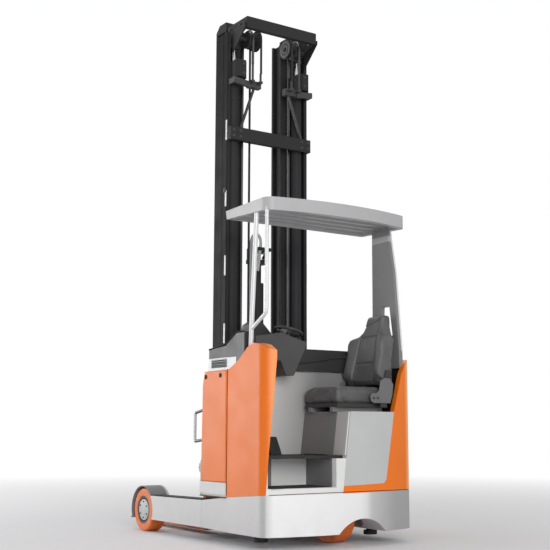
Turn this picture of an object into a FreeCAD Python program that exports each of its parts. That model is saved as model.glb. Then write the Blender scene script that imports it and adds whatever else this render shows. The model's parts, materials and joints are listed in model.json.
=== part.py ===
"""Sit-on electric reach truck with a three-stage mast.

Frame: +Z up, +Y towards the forks, +X to the truck's right, in millimetres.
The origin is on the floor, midway between the rear bulge and the fork tips.
Stations along the truck are measured forward from the rear corners of the body.
"""
import FreeCAD, Part
import Sketcher
import math
import os
from types import SimpleNamespace
from FreeCAD import Placement, Rotation, Vector

# Driving sizes. Columns: name, value in mm or degrees, meaning.
SIZE_TABLE = [
    ("body_width", 1160, "overall width over the body and legs"),
    ("rear_bulge", 95, "how far the rear face bows out behind the rear corners"),
    ("corner_radius", 70, "rear corners of the body in plan"),
    ("skirt_bottom", 85, "underside of the rear skirt"),
    ("parting_rear", 331, "top of the frame at the rear corners"),
    ("parting_middle", 300, "top of the frame at the battery bay"),
    ("parting_front", 266, "top of the frame where the legs begin"),
    ("bay_rear", 418, "rear of the battery bay, from the rear corners"),
    ("bay_front", 735, "front of the battery bay, from the rear corners"),
    ("frame_wall", 40, "plate of the moulded rear panels"),
    ("leg_bottom", 92, "underside of the legs"),
    ("leg_top", 253, "top of the legs at the load wheels"),
    ("leg_width", 150, "width of one leg"),
    ("leg_cheek", 17, "inner cheek plate of a leg beside its wheel"),
    ("load_axle_station", 1600, "load axle, from the rear corners"),
    ("load_tyre_radius", 150, "radius of a load wheel tyre"),
    ("load_tyre_width", 112, "width of a load wheel tyre"),
    ("load_hub_radius", 98, "radius of a load wheel hub"),
    ("load_axle_radius", 17, "radius of a load wheel axle"),
    ("wheel_gap", 9, "side gap between wheels and what carries them"),
    ("fender_gap", 14, "gap between a load tyre and its fender"),
    ("fender_wall", 5, "plate of a load wheel fender"),
    ("rail_slot_low", 110, "bottom of the roller channel in a leg"),
    ("rail_slot_high", 200, "top of the roller channel in a leg"),
    ("rail_slot_depth", 55, "depth of the roller channel in a leg"),
    ("drive_side", 110, "drive wheel centre, to the right of the middle"),
    ("drive_station", 240, "drive wheel centre, from the rear corners"),
    ("drive_radius", 171.5, "radius of the drive wheel"),
    ("drive_width", 120, "width of the drive wheel"),
    ("drive_hub_radius", 105, "radius of the drive wheel hub"),
    ("drive_axle_radius", 20, "radius of the drive axle"),
    ("well_radius", 196, "radius of the drive wheel well"),
    ("bearing_bore", 150, "hole through the steering bearing"),
    ("bearing_radius", 176, "outside of the steering bearing ring"),
    ("bearing_top", 345, "top of the steering bearing ring"),
    ("motor_radius", 105, "radius of the drive motor"),
    ("motor_top", 640, "top of the drive motor"),
    ("pad_inset", 150, "stabiliser pads, from the body's side"),
    ("pad_station", 250, "stabiliser pads, from the rear corners"),
    ("pad_radius", 45, "radius of a stabiliser pad"),
    ("pad_bottom", 34, "underside of the stabiliser pads"),
    ("floor_level", 543, "underside of the operator's floor"),
    ("floor_plate", 16, "thickness of the operator's floor"),
    ("step_side", 33, "left side of the step opening, from the body's side"),
    ("step_post", 55, "right side of the step opening, left of the seat box"),
    ("step_level", 369, "tread of the step"),
    ("step_depth", 235, "depth of the step opening, from the rear corners"),
    ("column_peak", 1246, "top of the left column"),
    ("column_width", 86, "width of the left column near its top"),
    ("panel_peak", 1183, "top of the right rear panel"),
    ("seat_box_top", 831, "top of the seat box"),
    ("seat_box_edge", 45, "left edge of the seat box at the floor, left of the middle"),
    ("bay_top", 1094, "top of the battery bay covers"),
    ("cover_proud", 8, "how far the bay covers stand out from the side"),
    ("cover_wall", 28, "thickness of a bay cover"),
    ("tray_top", 388, "top of the battery tray ends"),
    ("hood_front", 665, "front of the hood over the battery bay"),
    ("vent_height", 81, "height of the vent band"),
    ("louvre_bars", 5, "slots of the louvre in each end of the vent band"),
    ("hood_height", 75, "height of the hood above the vent band"),
    ("cowl_rise", 77, "rise of the cowl beside the column, above the hood"),
    ("hump_rise", 168, "rise of the instrument hump, above the hood"),
    ("guard_top", 2150, "top of the overhead guard"),
    ("guard_depth", 84, "depth of the guard's rim at the rear"),
    ("guard_depth_front", 57, "depth of the guard's rim at the front"),
    ("guard_inset", 18, "side of the guard, from the body's side"),
    ("guard_front", 478, "front edge of the guard, from the rear corners"),
    ("guard_rim", 34, "width of the guard's rim"),
    ("guard_skin", 22, "thickness of the guard's roof"),
    ("post_radius", 15, "radius of the left post and grab rail"),
    ("post_inset", 38, "left post and grab rail, from the body's side"),
    ("pillar_thick", 30, "thickness of the right pillar"),
    ("seat_station", 180, "middle of the seat, from the rear corners"),
    ("seat_width", 380, "width of the seat"),
    ("seat_front", -35, "front of the cushion, to the right of the middle"),
    ("seat_slide", 120, "travel of the seat towards the left"),
    ("seat_length", 425, "length of the cushion"),
    ("seat_level", 885, "underside of the cushion"),
    ("seat_thick", 95, "thickness of the cushion"),
    ("back_height", 500, "height of the backrest"),
    ("back_shoulder", 330, "height of the backrest's shoulders"),
    ("headrest_half", 100, "half width of the headrest"),
    ("headrest_shift", 28, "headrest, towards the rear of the seat's middle"),
    ("back_thick", 95, "thickness of the backrest"),
    ("back_lean", 10, "lean of the backrest in degrees"),
    ("back_gap", 12, "gap between the cushion and the backrest"),
    ("recliner_level", 930, "axis of the backrest's hinge"),
    ("mast_rear", 857, "rear face of the outer rails, from the rear corners"),
    ("mast_gap", 87, "gap between the mast and the inner side of a leg"),
    ("rail_flange", 18, "thickness of a rail flange"),
    ("rail_web", 14, "thickness of a rail web"),
    ("rail_foot", 70, "foot of the rails above the floor"),
    ("outer_depth", 167, "depth of an outer rail"),
    ("outer_lip", 23, "width of an outer rail"),
    ("middle_step", 91, "rear of the middle rails, in front of the rear of the outer rails"),
    ("middle_depth", 140, "depth of a middle rail"),
    ("middle_inset", 35, "outside of the middle rails, from the outside of the outer rails"),
    ("middle_width", 76, "width of a middle rail"),
    ("inner_step", 78, "rear of the inner rails, in front of the rear of the outer rails"),
    ("inner_depth", 153, "depth of an inner rail"),
    ("inner_width", 64, "width of an inner rail"),
    ("stage_gap", 6, "gap between the flanges of the middle and inner rails"),
    ("crossbar_thick", 12, "thickness of the crossbars of the inner stage"),
    ("beam_top", 3612, "top of the top beam"),
    ("beam_back", 187, "rear face of the top beam, behind the rear of the outer rails"),
    ("beam_inset", 45, "end of the top beam, from the outside of the outer rails"),
    ("beam_height", 82, "height of the top beam"),
    ("beam_thick", 40, "thickness of the top beam"),
    ("gusset_thick", 14, "thickness of the top beam's gussets"),
    ("eye_radius", 18, "radius of the lifting eyes in the gussets"),
    ("eye_back", 97, "lifting eyes, behind the rear of the outer rails"),
    ("eye_drop", 47, "axis of the lifting eyes below the top of the top beam"),
    ("outer_drop", 67, "top of the outer rails below the top of the top beam"),
    ("middle_rise", 43, "top of the middle rails above the top of the top beam"),
    ("cap_height", 68, "height of the cap on a middle rail"),
    ("cap_window", 30, "height of the window under the cap of a middle rail"),
    ("inner_drop", 112, "top of the inner rails below the top of the top beam"),
    ("clamp_drop", 288, "top of the cylinder clamps below the top of the top beam"),
    ("clamp_height", 124, "height of a cylinder clamp"),
    ("rod_drop", 172, "top of the lift rods below the top of the top beam"),
    ("lower_beam_drop", 775, "top of the lower beam below the top of the top beam"),
    ("lower_beam_height", 95, "height of the lower beam"),
    ("lower_beam_back", 51, "rear face of the lower beam, behind the rear of the outer rails"),
    ("bracket_drop", 422, "top of the mast head brackets below the top of the top beam"),
    ("bracket_height", 49, "height of the mast head brackets"),
    ("lift_inset", 69, "lift cylinders, from the outside of the outer rails"),
    ("lift_forward", 42, "lift cylinders, in front of the rear of the outer rails"),
    ("lift_radius", 42, "radius of a lift cylinder barrel"),
    ("lift_rod_radius", 22, "radius of a lift cylinder rod"),
    ("pulley_back", 37, "axis of the head pulleys, behind the rear of the outer rails"),
    ("pulley_drop", 114, "axis of the head pulleys below the top of the top beam"),
    ("pulley_radius", 69, "radius of a hose pulley"),
    ("chain_radius", 63, "radius of a chain sheave at the mast head"),
    ("chain_side", 200, "lift chains, from the middle"),
    ("hose_side", 134, "mast hoses, from the middle"),
    ("strand_reach", 70, "chain strands, from the axis of the head pulleys"),
    ("running_gap", 0.3, "clearance of pins, rods and rollers in what guides them"),
    ("lift_travel", 2500, "travel of each mast stage"),
    ("free_radius", 48, "radius of the free lift cylinder barrel"),
    ("free_rod_radius", 30, "radius of the free lift rod"),
    ("free_top", 1760, "top of the free lift cylinder barrel"),
    ("head_level", 1990, "axis of the free lift sheaves"),
    ("sheave_radius", 42, "radius of a free lift sheave"),
    ("carriage_travel", 2800, "travel of the lift carriage on the inner stage"),
    ("reach_travel", 420, "travel of the reach carriage"),
    ("carriage_gap", 8, "gap between plates that move past each other"),
    ("bar_thick", 18, "thickness of the carriage bars"),
    ("tilt_thick", 16, "thickness of the tilt frame"),
    ("shift_thick", 22, "thickness of the side shift frame"),
    ("tilt_gap", 16, "gap behind the tilt frame"),
    ("tilt_axis_level", 500, "axis of the fork tilt"),
    ("arch_height", 87, "height of the arch in the rear skirt"),
    ("arch_radius", 251, "radius of the arch in the rear skirt"),
    ("fork_length", 1070, "length of a fork blade"),
    ("fork_width", 120, "width of a fork"),
    ("fork_thick", 40, "thickness of a fork"),
    ("fork_inset", 180, "inner side of each fork, from the middle"),
    ("fork_bottom", 24, "underside of the lowered forks"),
    ("fork_top", 500, "top of a fork's shank"),
]


class Dim:
    """A length that knows its value and the sheet expression it comes from."""

    def __init__(self, text, value):
        self.text = text
        self.value = float(value)

    def __add__(self, other):
        return Dim(f"({self.text} + {words(other)})", self.value + plain(other))

    def __radd__(self, other):
        return Dim(f"({words(other)} + {self.text})", plain(other) + self.value)

    def __sub__(self, other):
        return Dim(f"({self.text} - {words(other)})", self.value - plain(other))

    def __rsub__(self, other):
        return Dim(f"({words(other)} - {self.text})", plain(other) - self.value)

    def __mul__(self, other):
        return Dim(f"({self.text} * {words(other)})", self.value * plain(other))

    def __rmul__(self, other):
        return Dim(f"({words(other)} * {self.text})", plain(other) * self.value)

    def __truediv__(self, other):
        return Dim(f"({self.text} / {words(other)})", self.value / plain(other))

    def __neg__(self):
        return Dim(f"(0 - {self.text})", -self.value)


def words(number):
    """The expression text of a Dim or a plain number."""
    return number.text if isinstance(number, Dim) else f"({number})"


def plain(number):
    """The plain value of a Dim or a number."""
    return number.value if isinstance(number, Dim) else float(number)


def root(number):
    """The square root of a Dim."""
    return Dim(f"sqrt({number.text})", math.sqrt(number.value))


doc = FreeCAD.newDocument("reach_truck")
sheet = doc.addObject("Spreadsheet::Sheet", "Sizes")
for line, (alias, value, meaning) in enumerate(SIZE_TABLE, start=1):
    sheet.set(f"A{line}", alias)
    sheet.set(f"B{line}", str(value))
    sheet.set(f"C{line}", meaning)
    sheet.setAlias(f"B{line}", alias)
doc.recompute()
s = SimpleNamespace(**{alias: Dim(f"Sizes.{alias}", sheet.get(alias)) for alias, _, _ in SIZE_TABLE})

PLANE_ROLES = {"XY": "XY_Plane", "XZ": "XZ_Plane", "YZ": "YZ_Plane"}
AXIS_TURNS = {
    "X": Rotation(Vector(0, 1, 0), 90),
    "Y": Rotation(Vector(1, 0, 0), -90),
    "Z": Rotation(),
}
NODES = []


def bind(thing, prop, number):
    """Set a property, tied to the sheet where the number is a Dim."""
    if isinstance(number, Dim):
        thing.setExpression(prop, number.text)
    else:
        thing.setExpression(prop, str(float(number)))


def put(thing, x, y, z):
    """Tie a thing's place to the sheet."""
    for axis, number in (("x", x), ("y", y), ("z", z)):
        bind(thing, f"Placement.Base.{axis}", number)


def fresh(kind, name):
    """A new document object."""
    return doc.addObject(kind, name)


def box(name, x, y, z):
    """A block between pairs of limits along X, Y and Z."""
    block = fresh("Part::Box", name)
    bind(block, "Length", x[1] - x[0])
    bind(block, "Width", y[1] - y[0])
    bind(block, "Height", z[1] - z[0])
    put(block, x[0], y[0], z[0])
    return block


def rod(name, axis, radius, x, y, z):
    """A round bar along an axis, whose coordinate there is a pair of limits."""
    bar = fresh("Part::Cylinder", name)
    bind(bar, "Radius", radius)
    place = {"X": x, "Y": y, "Z": z}
    low, high = place[axis]
    bind(bar, "Height", high - low)
    place[axis] = low
    bar.Placement = Placement(Vector(), AXIS_TURNS[axis])
    put(bar, place["X"], place["Y"], place["Z"])
    return bar


def cut(name, base, *tools):
    """The base with the tools taken away."""
    result = fresh("Part::Cut", name)
    result.Base = base
    result.Tool = tools[0] if len(tools) == 1 else fuse(name + "_tools", *tools)
    return result


def fuse(name, *pieces):
    """The pieces joined into one."""
    result = fresh("Part::MultiFuse", name)
    result.Shapes = list(pieces)
    result.Refine = True
    return result


def common(name, *pieces):
    """What the pieces share."""
    result = fresh("Part::MultiCommon", name)
    result.Shapes = list(pieces)
    return result


def mirror(name, piece):
    """The piece on the truck's other side."""
    result = fresh("Part::Mirroring", name)
    result.Source = piece
    result.Base = (0, 0, 0)
    result.Normal = (1, 0, 0)
    return result


def node(name, *pieces):
    """Keep the pieces as one named sub-part of the truck."""
    group = fresh("Part::Compound", name + "_part")
    group.Links = list(pieces)
    group.Label = name
    NODES.append(group)
    return group


def outline_sketch(body, plane, level, outline, arcs):
    """A closed sketch on one of a body's planes, every corner tied to the sheet.

    arcs maps the number of a side to its radius; a side with an arc bows out
    to the right of its direction when the radius is positive.
    """
    sketch = body.newObject("Sketcher::SketchObject", body.Name + "_outline")
    role = PLANE_ROLES[plane]
    support = [item for item in body.Origin.OriginFeatures if item.Role == role][0]
    sketch.AttachmentSupport = [(support, "")]
    sketch.MapMode = "FlatFace"
    bind(sketch, "AttachmentOffset.Base.z", -level if plane == "XZ" else level)
    count = len(outline)
    for side in range(count):
        start = Vector(plain(outline[side][0]), plain(outline[side][1]), 0)
        finish = Vector(plain(outline[(side + 1) % count][0]), plain(outline[(side + 1) % count][1]), 0)
        if side in arcs:
            radius = plain(arcs[side])
            run = finish - start
            right = Vector(run.y, -run.x, 0).normalize()
            rise = abs(radius) - math.sqrt(radius * radius - run.Length ** 2 / 4)
            middle = (start + finish) / 2 + right * math.copysign(rise, radius)
            sketch.addGeometry(Part.Arc(start, middle, finish))
        else:
            sketch.addGeometry(Part.LineSegment(start, finish))
    ends = []
    for side in range(count):
        # An arc's stored start may be either of its two ends.
        piece = sketch.Geometry[side]
        start = Vector(plain(outline[side][0]), plain(outline[side][1]), 0)
        forward = (piece.StartPoint - start).Length < (piece.EndPoint - start).Length
        ends.append((1, 2) if forward else (2, 1))
    for side in range(count):
        follower = (side + 1) % count
        sketch.addConstraint(Sketcher.Constraint("Coincident", side, ends[side][1], follower,
                                                 ends[follower][0]))
    for side in range(count):
        for letter, number in (("X", outline[side][0]), ("Y", outline[side][1])):
            place = sketch.addConstraint(
                Sketcher.Constraint(f"Distance{letter}", side, ends[side][0], plain(number)))
            name = f"{letter.lower()}_{side}"
            sketch.renameConstraint(place, name)
            bind(sketch, f"Constraints.{name}", number)
    for side, radius in arcs.items():
        size = abs(plain(radius))
        place = sketch.addConstraint(Sketcher.Constraint("Radius", side, size))
        sketch.renameConstraint(place, f"bow_{side}")
        bind(sketch, f"Constraints.bow_{side}", radius if plain(radius) > 0 else -radius)
    return sketch


def prism(name, plane, span, outline, arcs=None):
    """An outline on a plane, padded between two levels along the plane's normal."""
    body = fresh("PartDesign::Body", name)
    low, high = span
    sketch = outline_sketch(body, plane, low, outline, arcs or {})
    pad = body.newObject("PartDesign::Pad", name + "_pad")
    pad.Profile = sketch
    bind(pad, "Length", high - low)
    pad.Reversed = plane == "XZ"
    sketch.Visibility = False
    return body


def rounded(name, piece, radius, wanted):
    """The piece with the edges that the test picks rounded off."""
    doc.recompute()
    result = fresh("Part::Fillet", name)
    result.Base = piece
    size = plain(radius)
    result.Edges = [(number, size, size) for number,
                    edge in enumerate(piece.Shape.Edges, start=1) if wanted(edge)]
    return result


def upright(edge):
    """True for a straight edge along Z."""
    return edge.Curve.TypeId == "Part::GeomLine" and abs(edge.tangentAt(edge.FirstParameter).z) > 0.99


def wire_tube(name, radius, points, bend):
    """A round tube along straight runs joined by tangent arcs."""
    corners = [Vector(*[plain(number) for number in point]) for point in points]
    edges = []
    begin = corners[0]
    for before, corner, after in zip(corners, corners[1:], corners[2:]):
        inward = (corner - before).normalize()
        outward = (after - corner).normalize()
        turn = inward.getAngle(outward)
        reach = bend * math.tan(turn / 2)
        leave = corner - inward * reach
        rejoin = corner + outward * reach
        halfway = (outward - inward).normalize()
        apex = corner + halfway * (bend / math.cos(turn / 2) - bend)
        edges.append(Part.LineSegment(begin, leave).toShape())
        edges.append(Part.Arc(leave, apex, rejoin).toShape())
        begin = rejoin
    edges.append(Part.LineSegment(begin, corners[-1]).toShape())
    path = Part.Wire(edges)
    ring = Part.Wire(Part.Circle(corners[0], corners[1] - corners[0], plain(radius)).toShape())
    tube = fresh("Part::Feature", name)
    tube.Shape = path.makePipeShell([ring], True, True)
    return tube


# Stations along the truck, from the rear corners, in the truck's own frame.
carriage_back = s.mast_rear + s.inner_step + s.inner_depth + s.carriage_gap
fork_back = carriage_back + s.bar_thick + s.tilt_gap + s.tilt_thick + s.running_gap + s.shift_thick
fork_face = fork_back + s.fork_thick
total_length = s.rear_bulge + fork_face + s.fork_length
back = s.rear_bulge - total_length / 2
half = s.body_width / 2
column_inner = half - s.column_width
post_side = half - s.post_inset
guard_half = half - s.guard_inset
vent_top = s.bay_top + s.vent_height
hood_top = vent_top + s.hood_height


def station(number):
    """A place along the truck from its distance in front of the rear corners."""
    return back + number


REAR_END = station(-s.rear_bulge - 20)
CLEAR = s.body_width

bay_rear = station(s.bay_rear)
bay_front = station(s.bay_front)
load_axle = station(s.load_axle_station)
bow_radius = (half * half + s.rear_bulge * s.rear_bulge) / (s.rear_bulge * 2)


def plan_prism(name, inset, front, low, high, corner=None):
    """The body's outline in plan, set in by an inset, padded between two heights."""
    side = half - inset
    radius = bow_radius - inset
    centre = station(bow_radius - s.rear_bulge)
    corner_station = centre - root(radius * radius - side * side)
    outline = [(-side, front), (-side, corner_station), (side, corner_station), (side, front)]
    shape = prism(name, "XY", (low, high), outline, {1: radius})
    round_off = plain(s.corner_radius) - plain(inset) if corner is None else corner
    rear = plain(corner_station)
    return rounded(name + "_corners", shape, round_off,
                   lambda edge: upright(edge) and edge.Vertexes[0].Point.y < rear + 1)


def frame_top():
    """The frame's top line from the front of the battery bay to the rear corners."""
    return [(bay_front, s.parting_front), (bay_rear, s.parting_middle), (station(0), s.parting_rear),
            (REAR_END, s.parting_rear)]


def above_frame(name, front, top):
    """All that is above the frame's top line, behind a station and below a height."""
    line = frame_top()
    if front is bay_rear:
        line = line[1:]
    outline = line + [(REAR_END, top), (front, top)]
    return prism(name, "YZ", (-CLEAR, CLEAR), list(reversed(outline)))


# Frame: rear skirt, drive wheel well, steering bearing
low_profile = [(bay_front, s.skirt_bottom + 7), (bay_front, s.parting_front), (bay_rear, s.parting_middle),
               (station(0), s.parting_rear), (REAR_END, s.parting_rear), (REAR_END, s.skirt_bottom),
               (station(s.pad_station) + 80, s.skirt_bottom)]
skirt = common("skirt", plan_prism("skirt_plan", s.body_width * 0, bay_front, s.skirt_bottom,
                                   s.parting_rear + 5),
               prism("skirt_side", "YZ", (-CLEAR, CLEAR), low_profile))
drive_y = station(s.drive_station)
ring = rod("bearing_ring", "Z", s.bearing_radius, s.drive_side, drive_y,
           (s.parting_middle - 20, s.bearing_top))
well = rod("wheel_well", "Z", s.well_radius, s.drive_side, drive_y,
           (s.skirt_bottom - 5, s.parting_middle - 20))
bore = rod("bearing_hole", "Z", s.bearing_bore, s.drive_side, drive_y, (s.skirt_bottom, s.bearing_top + 5))
arch = rod("rear_arch", "Y", s.arch_radius, s.drive_side, (REAR_END, drive_y),
           s.skirt_bottom + s.arch_height - s.arch_radius)
node("chassis_frame", cut("chassis_frame_cut", fuse("chassis_frame_sum", skirt, ring), well, bore, arch))

# Straddle legs with roller channels, wheel pockets, cheeks and stub axles
pocket_radius = s.load_tyre_radius + s.fender_gap
fender_radius = pocket_radius + s.fender_wall
leg_inner = half - s.leg_width
cheek_outer = leg_inner + s.leg_cheek
axle_z = s.load_tyre_radius
channel_front = load_axle - pocket_radius - 14
leg_profile = [(bay_front, s.leg_bottom), (bay_front, s.parting_front), (load_axle, s.leg_top),
               (load_axle, s.leg_bottom)]
leg_block = prism("leg_block", "YZ", (-half, -leg_inner), leg_profile)
cheek = common("leg_cheek",
               rod("leg_cheek_disc", "X", fender_radius, (-cheek_outer, -leg_inner), load_axle, axle_z),
               box("leg_cheek_keep", (-half, 0), (load_axle - CLEAR, load_axle + CLEAR),
                   (s.leg_bottom, s.leg_bottom + CLEAR)))
pocket = rod("wheel_pocket", "X", pocket_radius, (-half - 5, -cheek_outer), load_axle, axle_z)
pocket_front = box("pocket_front", (-half - 5, -cheek_outer), (load_axle - 5, load_axle + 5),
                   (s.leg_bottom - 5, s.leg_top + 15))
channel = box("roller_channel", (-leg_inner - s.rail_slot_depth, -leg_inner + 5),
              (bay_front - 5, channel_front), (s.rail_slot_low, s.rail_slot_high))
stub_axle = rod("stub_axle", "X", s.load_axle_radius, (-half + 14, -cheek_outer), load_axle, axle_z)
leg_left = fuse("leg_left",
                cut("leg_left_cut", fuse("leg_sum", leg_block, cheek), pocket, pocket_front, channel),
                stub_axle)
node("support_leg_left", leg_left)
node("support_leg_right", mirror("support_leg_right_mirror", leg_left))

# Load wheel fenders
fender_span = (-half, -cheek_outer)
fender_ring = cut("fender_ring", rod("fender_outer", "X", fender_radius, fender_span, load_axle, axle_z),
                  rod("fender_inner", "X", pocket_radius, (-half - 5, -cheek_outer + 5), load_axle, axle_z))
fender_keep = prism("fender_keep", "YZ", (-half, -cheek_outer),
                    [(load_axle, axle_z), (load_axle + fender_radius + 20, axle_z - 75),
                     (load_axle + fender_radius + 20, axle_z + 400),
                     (load_axle - fender_radius - 20, axle_z + 400),
                     (load_axle - fender_radius - 20, s.leg_top), (load_axle, s.leg_top)])
hook_y = load_axle + fender_radius - 15
fender_hook = box("fender_hook", fender_span, (hook_y, hook_y + 26), (axle_z - 64, axle_z - 58))
fender = cut("fender_trim",
             fuse("fender_sum", common("fender_shell", fender_ring, fender_keep), fender_hook), leg_block)
node("wheel_fenders", fender, mirror("fender_mirror", fender))

# Load wheels
def load_wheel(name, side):
    """Tyre and dished hub of one load wheel."""
    inner = cheek_outer + s.wheel_gap
    outer = inner + s.load_tyre_width
    span = (-outer, -inner) if side < 0 else (inner, outer)
    tyre_round = rounded(name + "_tyre_round",
                         rod(name + "_tyre_disc", "X", s.load_tyre_radius, span, load_axle, axle_z), 12,
                         lambda edge: edge.Curve.TypeId == "Part::GeomCircle")
    tyre = cut(name + "_tyre_cut", tyre_round,
               rod(name + "_tyre_bore", "X", s.load_hub_radius, (span[0] - 5, span[1] + 5), load_axle,
                   axle_z))
    node(name + "_tyre", tyre)
    face = (-outer + 3, -outer + 30) if side < 0 else (outer - 30, outer - 3)
    disc = rod(name + "_hub_disc", "X", s.load_hub_radius, (span[0] + 3, span[1] - 3), load_axle, axle_z)
    dish = rod(name + "_hub_dish", "X", s.load_hub_radius - 16,
               (face[0] - (5 if side < 0 else 0), face[1] + (5 if side > 0 else 0)), load_axle, axle_z)
    boss = rod(name + "_hub_boss", "X", s.load_hub_radius * 0.45,
               (-outer + 12, -outer + 35) if side < 0 else (outer - 35, outer - 12), load_axle, axle_z)
    bore_span = (span[0] - 5, span[1] + 5)
    hub = cut(name + "_hub_cut", fuse(name + "_hub_sum", cut(name + "_hub_dished", disc, dish), boss),
              rod(name + "_hub_bore", "X", s.load_axle_radius + s.running_gap, bore_span, load_axle,
                  axle_z))
    node(name + "_hub", hub)


load_wheel("load_wheel_left", -1)
load_wheel("load_wheel_right", 1)

# Drive unit and drive wheel
wheel_half = s.drive_width / 2
case_inner = s.drive_side + wheel_half + s.wheel_gap
case_outer = case_inner + 52
gear_case = fuse("gear_case",
                 rod("gear_case_round", "X", 62, (case_inner, case_outer), drive_y, s.drive_radius),
                 box("gear_case_upper", (case_inner, case_outer), (drive_y - 62, drive_y + 62),
                     (s.drive_radius, s.bearing_top + 2)))
turntable = rod("turntable", "Z", s.bearing_radius - 12, s.drive_side, drive_y,
                (s.bearing_top + s.running_gap, s.bearing_top + 28))
motor = rod("drive_motor_barrel", "Z", s.motor_radius, s.drive_side, drive_y,
            (s.bearing_top + 28, s.motor_top))
drive_axle = rod("drive_axle", "X", s.drive_axle_radius, (s.drive_side - wheel_half + 10, case_inner),
                 drive_y, s.drive_radius)
node("drive_unit", fuse("drive_unit_sum", gear_case, turntable, motor, drive_axle))
drive_span = (s.drive_side - wheel_half, s.drive_side + wheel_half)
drive_round = rounded("drive_tyre_round",
                      rod("drive_tyre_disc", "X", s.drive_radius, drive_span, drive_y, s.drive_radius), 10,
                      lambda edge: edge.Curve.TypeId == "Part::GeomCircle")
node("drive_wheel_tyre", cut("drive_tyre_cut", drive_round,
                             rod("drive_tyre_bore", "X", s.drive_hub_radius,
                                 (drive_span[0] - 5, drive_span[1] + 5), drive_y, s.drive_radius)))
drive_hub = cut("drive_hub_cut",
                rod("drive_hub_disc", "X", s.drive_hub_radius, (drive_span[0] + 4, drive_span[1] - 4),
                    drive_y, s.drive_radius),
                rod("drive_hub_dish", "X", s.drive_hub_radius - 16, (drive_span[0], drive_span[0] + 20),
                    drive_y, s.drive_radius),
                rod("drive_hub_bore", "X", s.drive_axle_radius + s.running_gap,
                    (drive_span[0], drive_span[1]), drive_y, s.drive_radius))
node("drive_wheel_hub", drive_hub)

# Stabiliser pads
def pad(name, side):
    """One round stabiliser pad under the rear of the frame."""
    across = (half - s.pad_inset) * side
    return fuse(name, rod(name + "_foot", "Z", s.pad_radius, across, station(s.pad_station),
                          (s.pad_bottom, s.pad_bottom + 26)),
                rod(name + "_stem", "Z", s.pad_radius * 0.6, across, station(s.pad_station),
                    (s.pad_bottom + 20, s.skirt_bottom)))


node("stabiliser_pads", pad("pad_left", -1), pad("pad_right", 1))

# Rear body: step, floor, seat box, panels
body_solid = plan_prism("body_plan", s.body_width * 0, bay_rear, s.parting_middle - 10, s.panel_peak + 100)
body_core = plan_prism("core_plan", s.frame_wall, bay_rear, s.parting_middle - 20, s.panel_peak + 110)
body_shell = cut("body_shell", body_solid, body_core)

right_panel_outline = [(-s.seat_box_edge - 11, s.parting_middle - 10), (half + 5, s.parting_middle - 10),
                       (half + 5, s.panel_peak),
                       (half - 50, s.panel_peak - 28), (half - 102, s.panel_peak - 109),
                       (half - 156, s.panel_peak - 274), (half - 183, s.seat_box_top),
                       (half - 268, 402), (half - 292, 382), (-s.seat_box_edge, 376)]
right_region = prism("right_region", "XZ", (REAR_END, bay_rear), right_panel_outline)
right_high = above_frame("right_high", bay_rear, s.panel_peak + 20)
right_panel = common("right_panel_shape", body_shell, right_region, right_high)
node("rear_panel_right", right_panel)

seat_outline = [(-s.seat_box_edge - 11, s.parting_middle - 10), (half + 5, s.parting_middle - 10),
                (half + 5, s.seat_box_top),
                (s.seat_box_edge * 0.25, s.seat_box_top)]
seat_block = common("seat_block", body_solid,
                    prism("seat_region", "XZ", (REAR_END, bay_rear - 16), seat_outline),
                    above_frame("seat_high", bay_rear, s.seat_box_top + 5))
motor_room = rod("motor_room", "Z", s.bearing_radius + 12, s.drive_side, drive_y,
                 (s.skirt_bottom, s.motor_top + 25))
node("seat_box", cut("seat_box_cut", seat_block, right_panel, motor_room))

step_outline = [(-half + 22, s.parting_middle - 10), (-s.seat_box_edge - 11, s.parting_middle - 10),
                (-s.seat_box_edge, 376),
                (-s.seat_box_edge + 20, s.floor_level), (-half + 22, s.floor_level)]
step_block = common("step_block", body_solid,
                    prism("step_region", "XZ", (REAR_END, bay_rear - 16), step_outline),
                    above_frame("step_high", bay_rear, s.floor_level))
recess = box("step_recess", (-half + s.step_side, -s.seat_box_edge - s.step_post),
             (REAR_END, station(s.step_depth)), (s.step_level, s.floor_level + 5))
left_column_outline = [(-half - 5, s.parting_middle - 10), (-half + 22, s.parting_middle - 10),
                       (-half + 40, 598),
                       (-column_inner, s.column_peak - 96), (-column_inner, s.column_peak + 10),
                       (-half - 5, s.column_peak + 10)]
column_side = [(bay_rear, s.parting_middle), (station(0), s.parting_rear), (REAR_END, s.parting_rear),
               (REAR_END, s.column_peak - 146),
               (station(-60), s.column_peak - 68), (station(40), s.column_peak - 12),
               (station(110), s.column_peak), (station(180), s.column_peak - 22),
               (station(290), s.column_peak - 100), (bay_rear, s.bay_top - 4)]
column = common("left_column_shape", body_solid,
                prism("column_front", "XZ", (REAR_END, bay_rear), left_column_outline),
                prism("column_side", "YZ", (-CLEAR, 0), list(reversed(column_side))))
node("side_column_left", column)
node("entry_step", cut("entry_step_cut", step_block, recess, column, seat_block, motor_room))
floor_shape = common("floor_shape", body_core,
                     box("floor_block", (-half, -s.seat_box_edge + 20), (REAR_END, bay_rear - 16),
                         (s.floor_level, s.floor_level + s.floor_plate)))
node("floor_plate", cut("floor_plate_cut", floor_shape, column, seat_block))
bearing_room = rod("bearing_room", "Z", s.bearing_radius + 12, s.drive_side, drive_y,
                   (s.skirt_bottom, s.bearing_top + 40))
bulkhead = box("bulkhead", (-half + 10, half - s.frame_wall), (bay_rear - 16, bay_rear),
               (s.parting_middle - 5, s.bay_top))
node("front_bulkhead", cut("bulkhead_cut", bulkhead, column, bearing_room, skirt))

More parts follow.
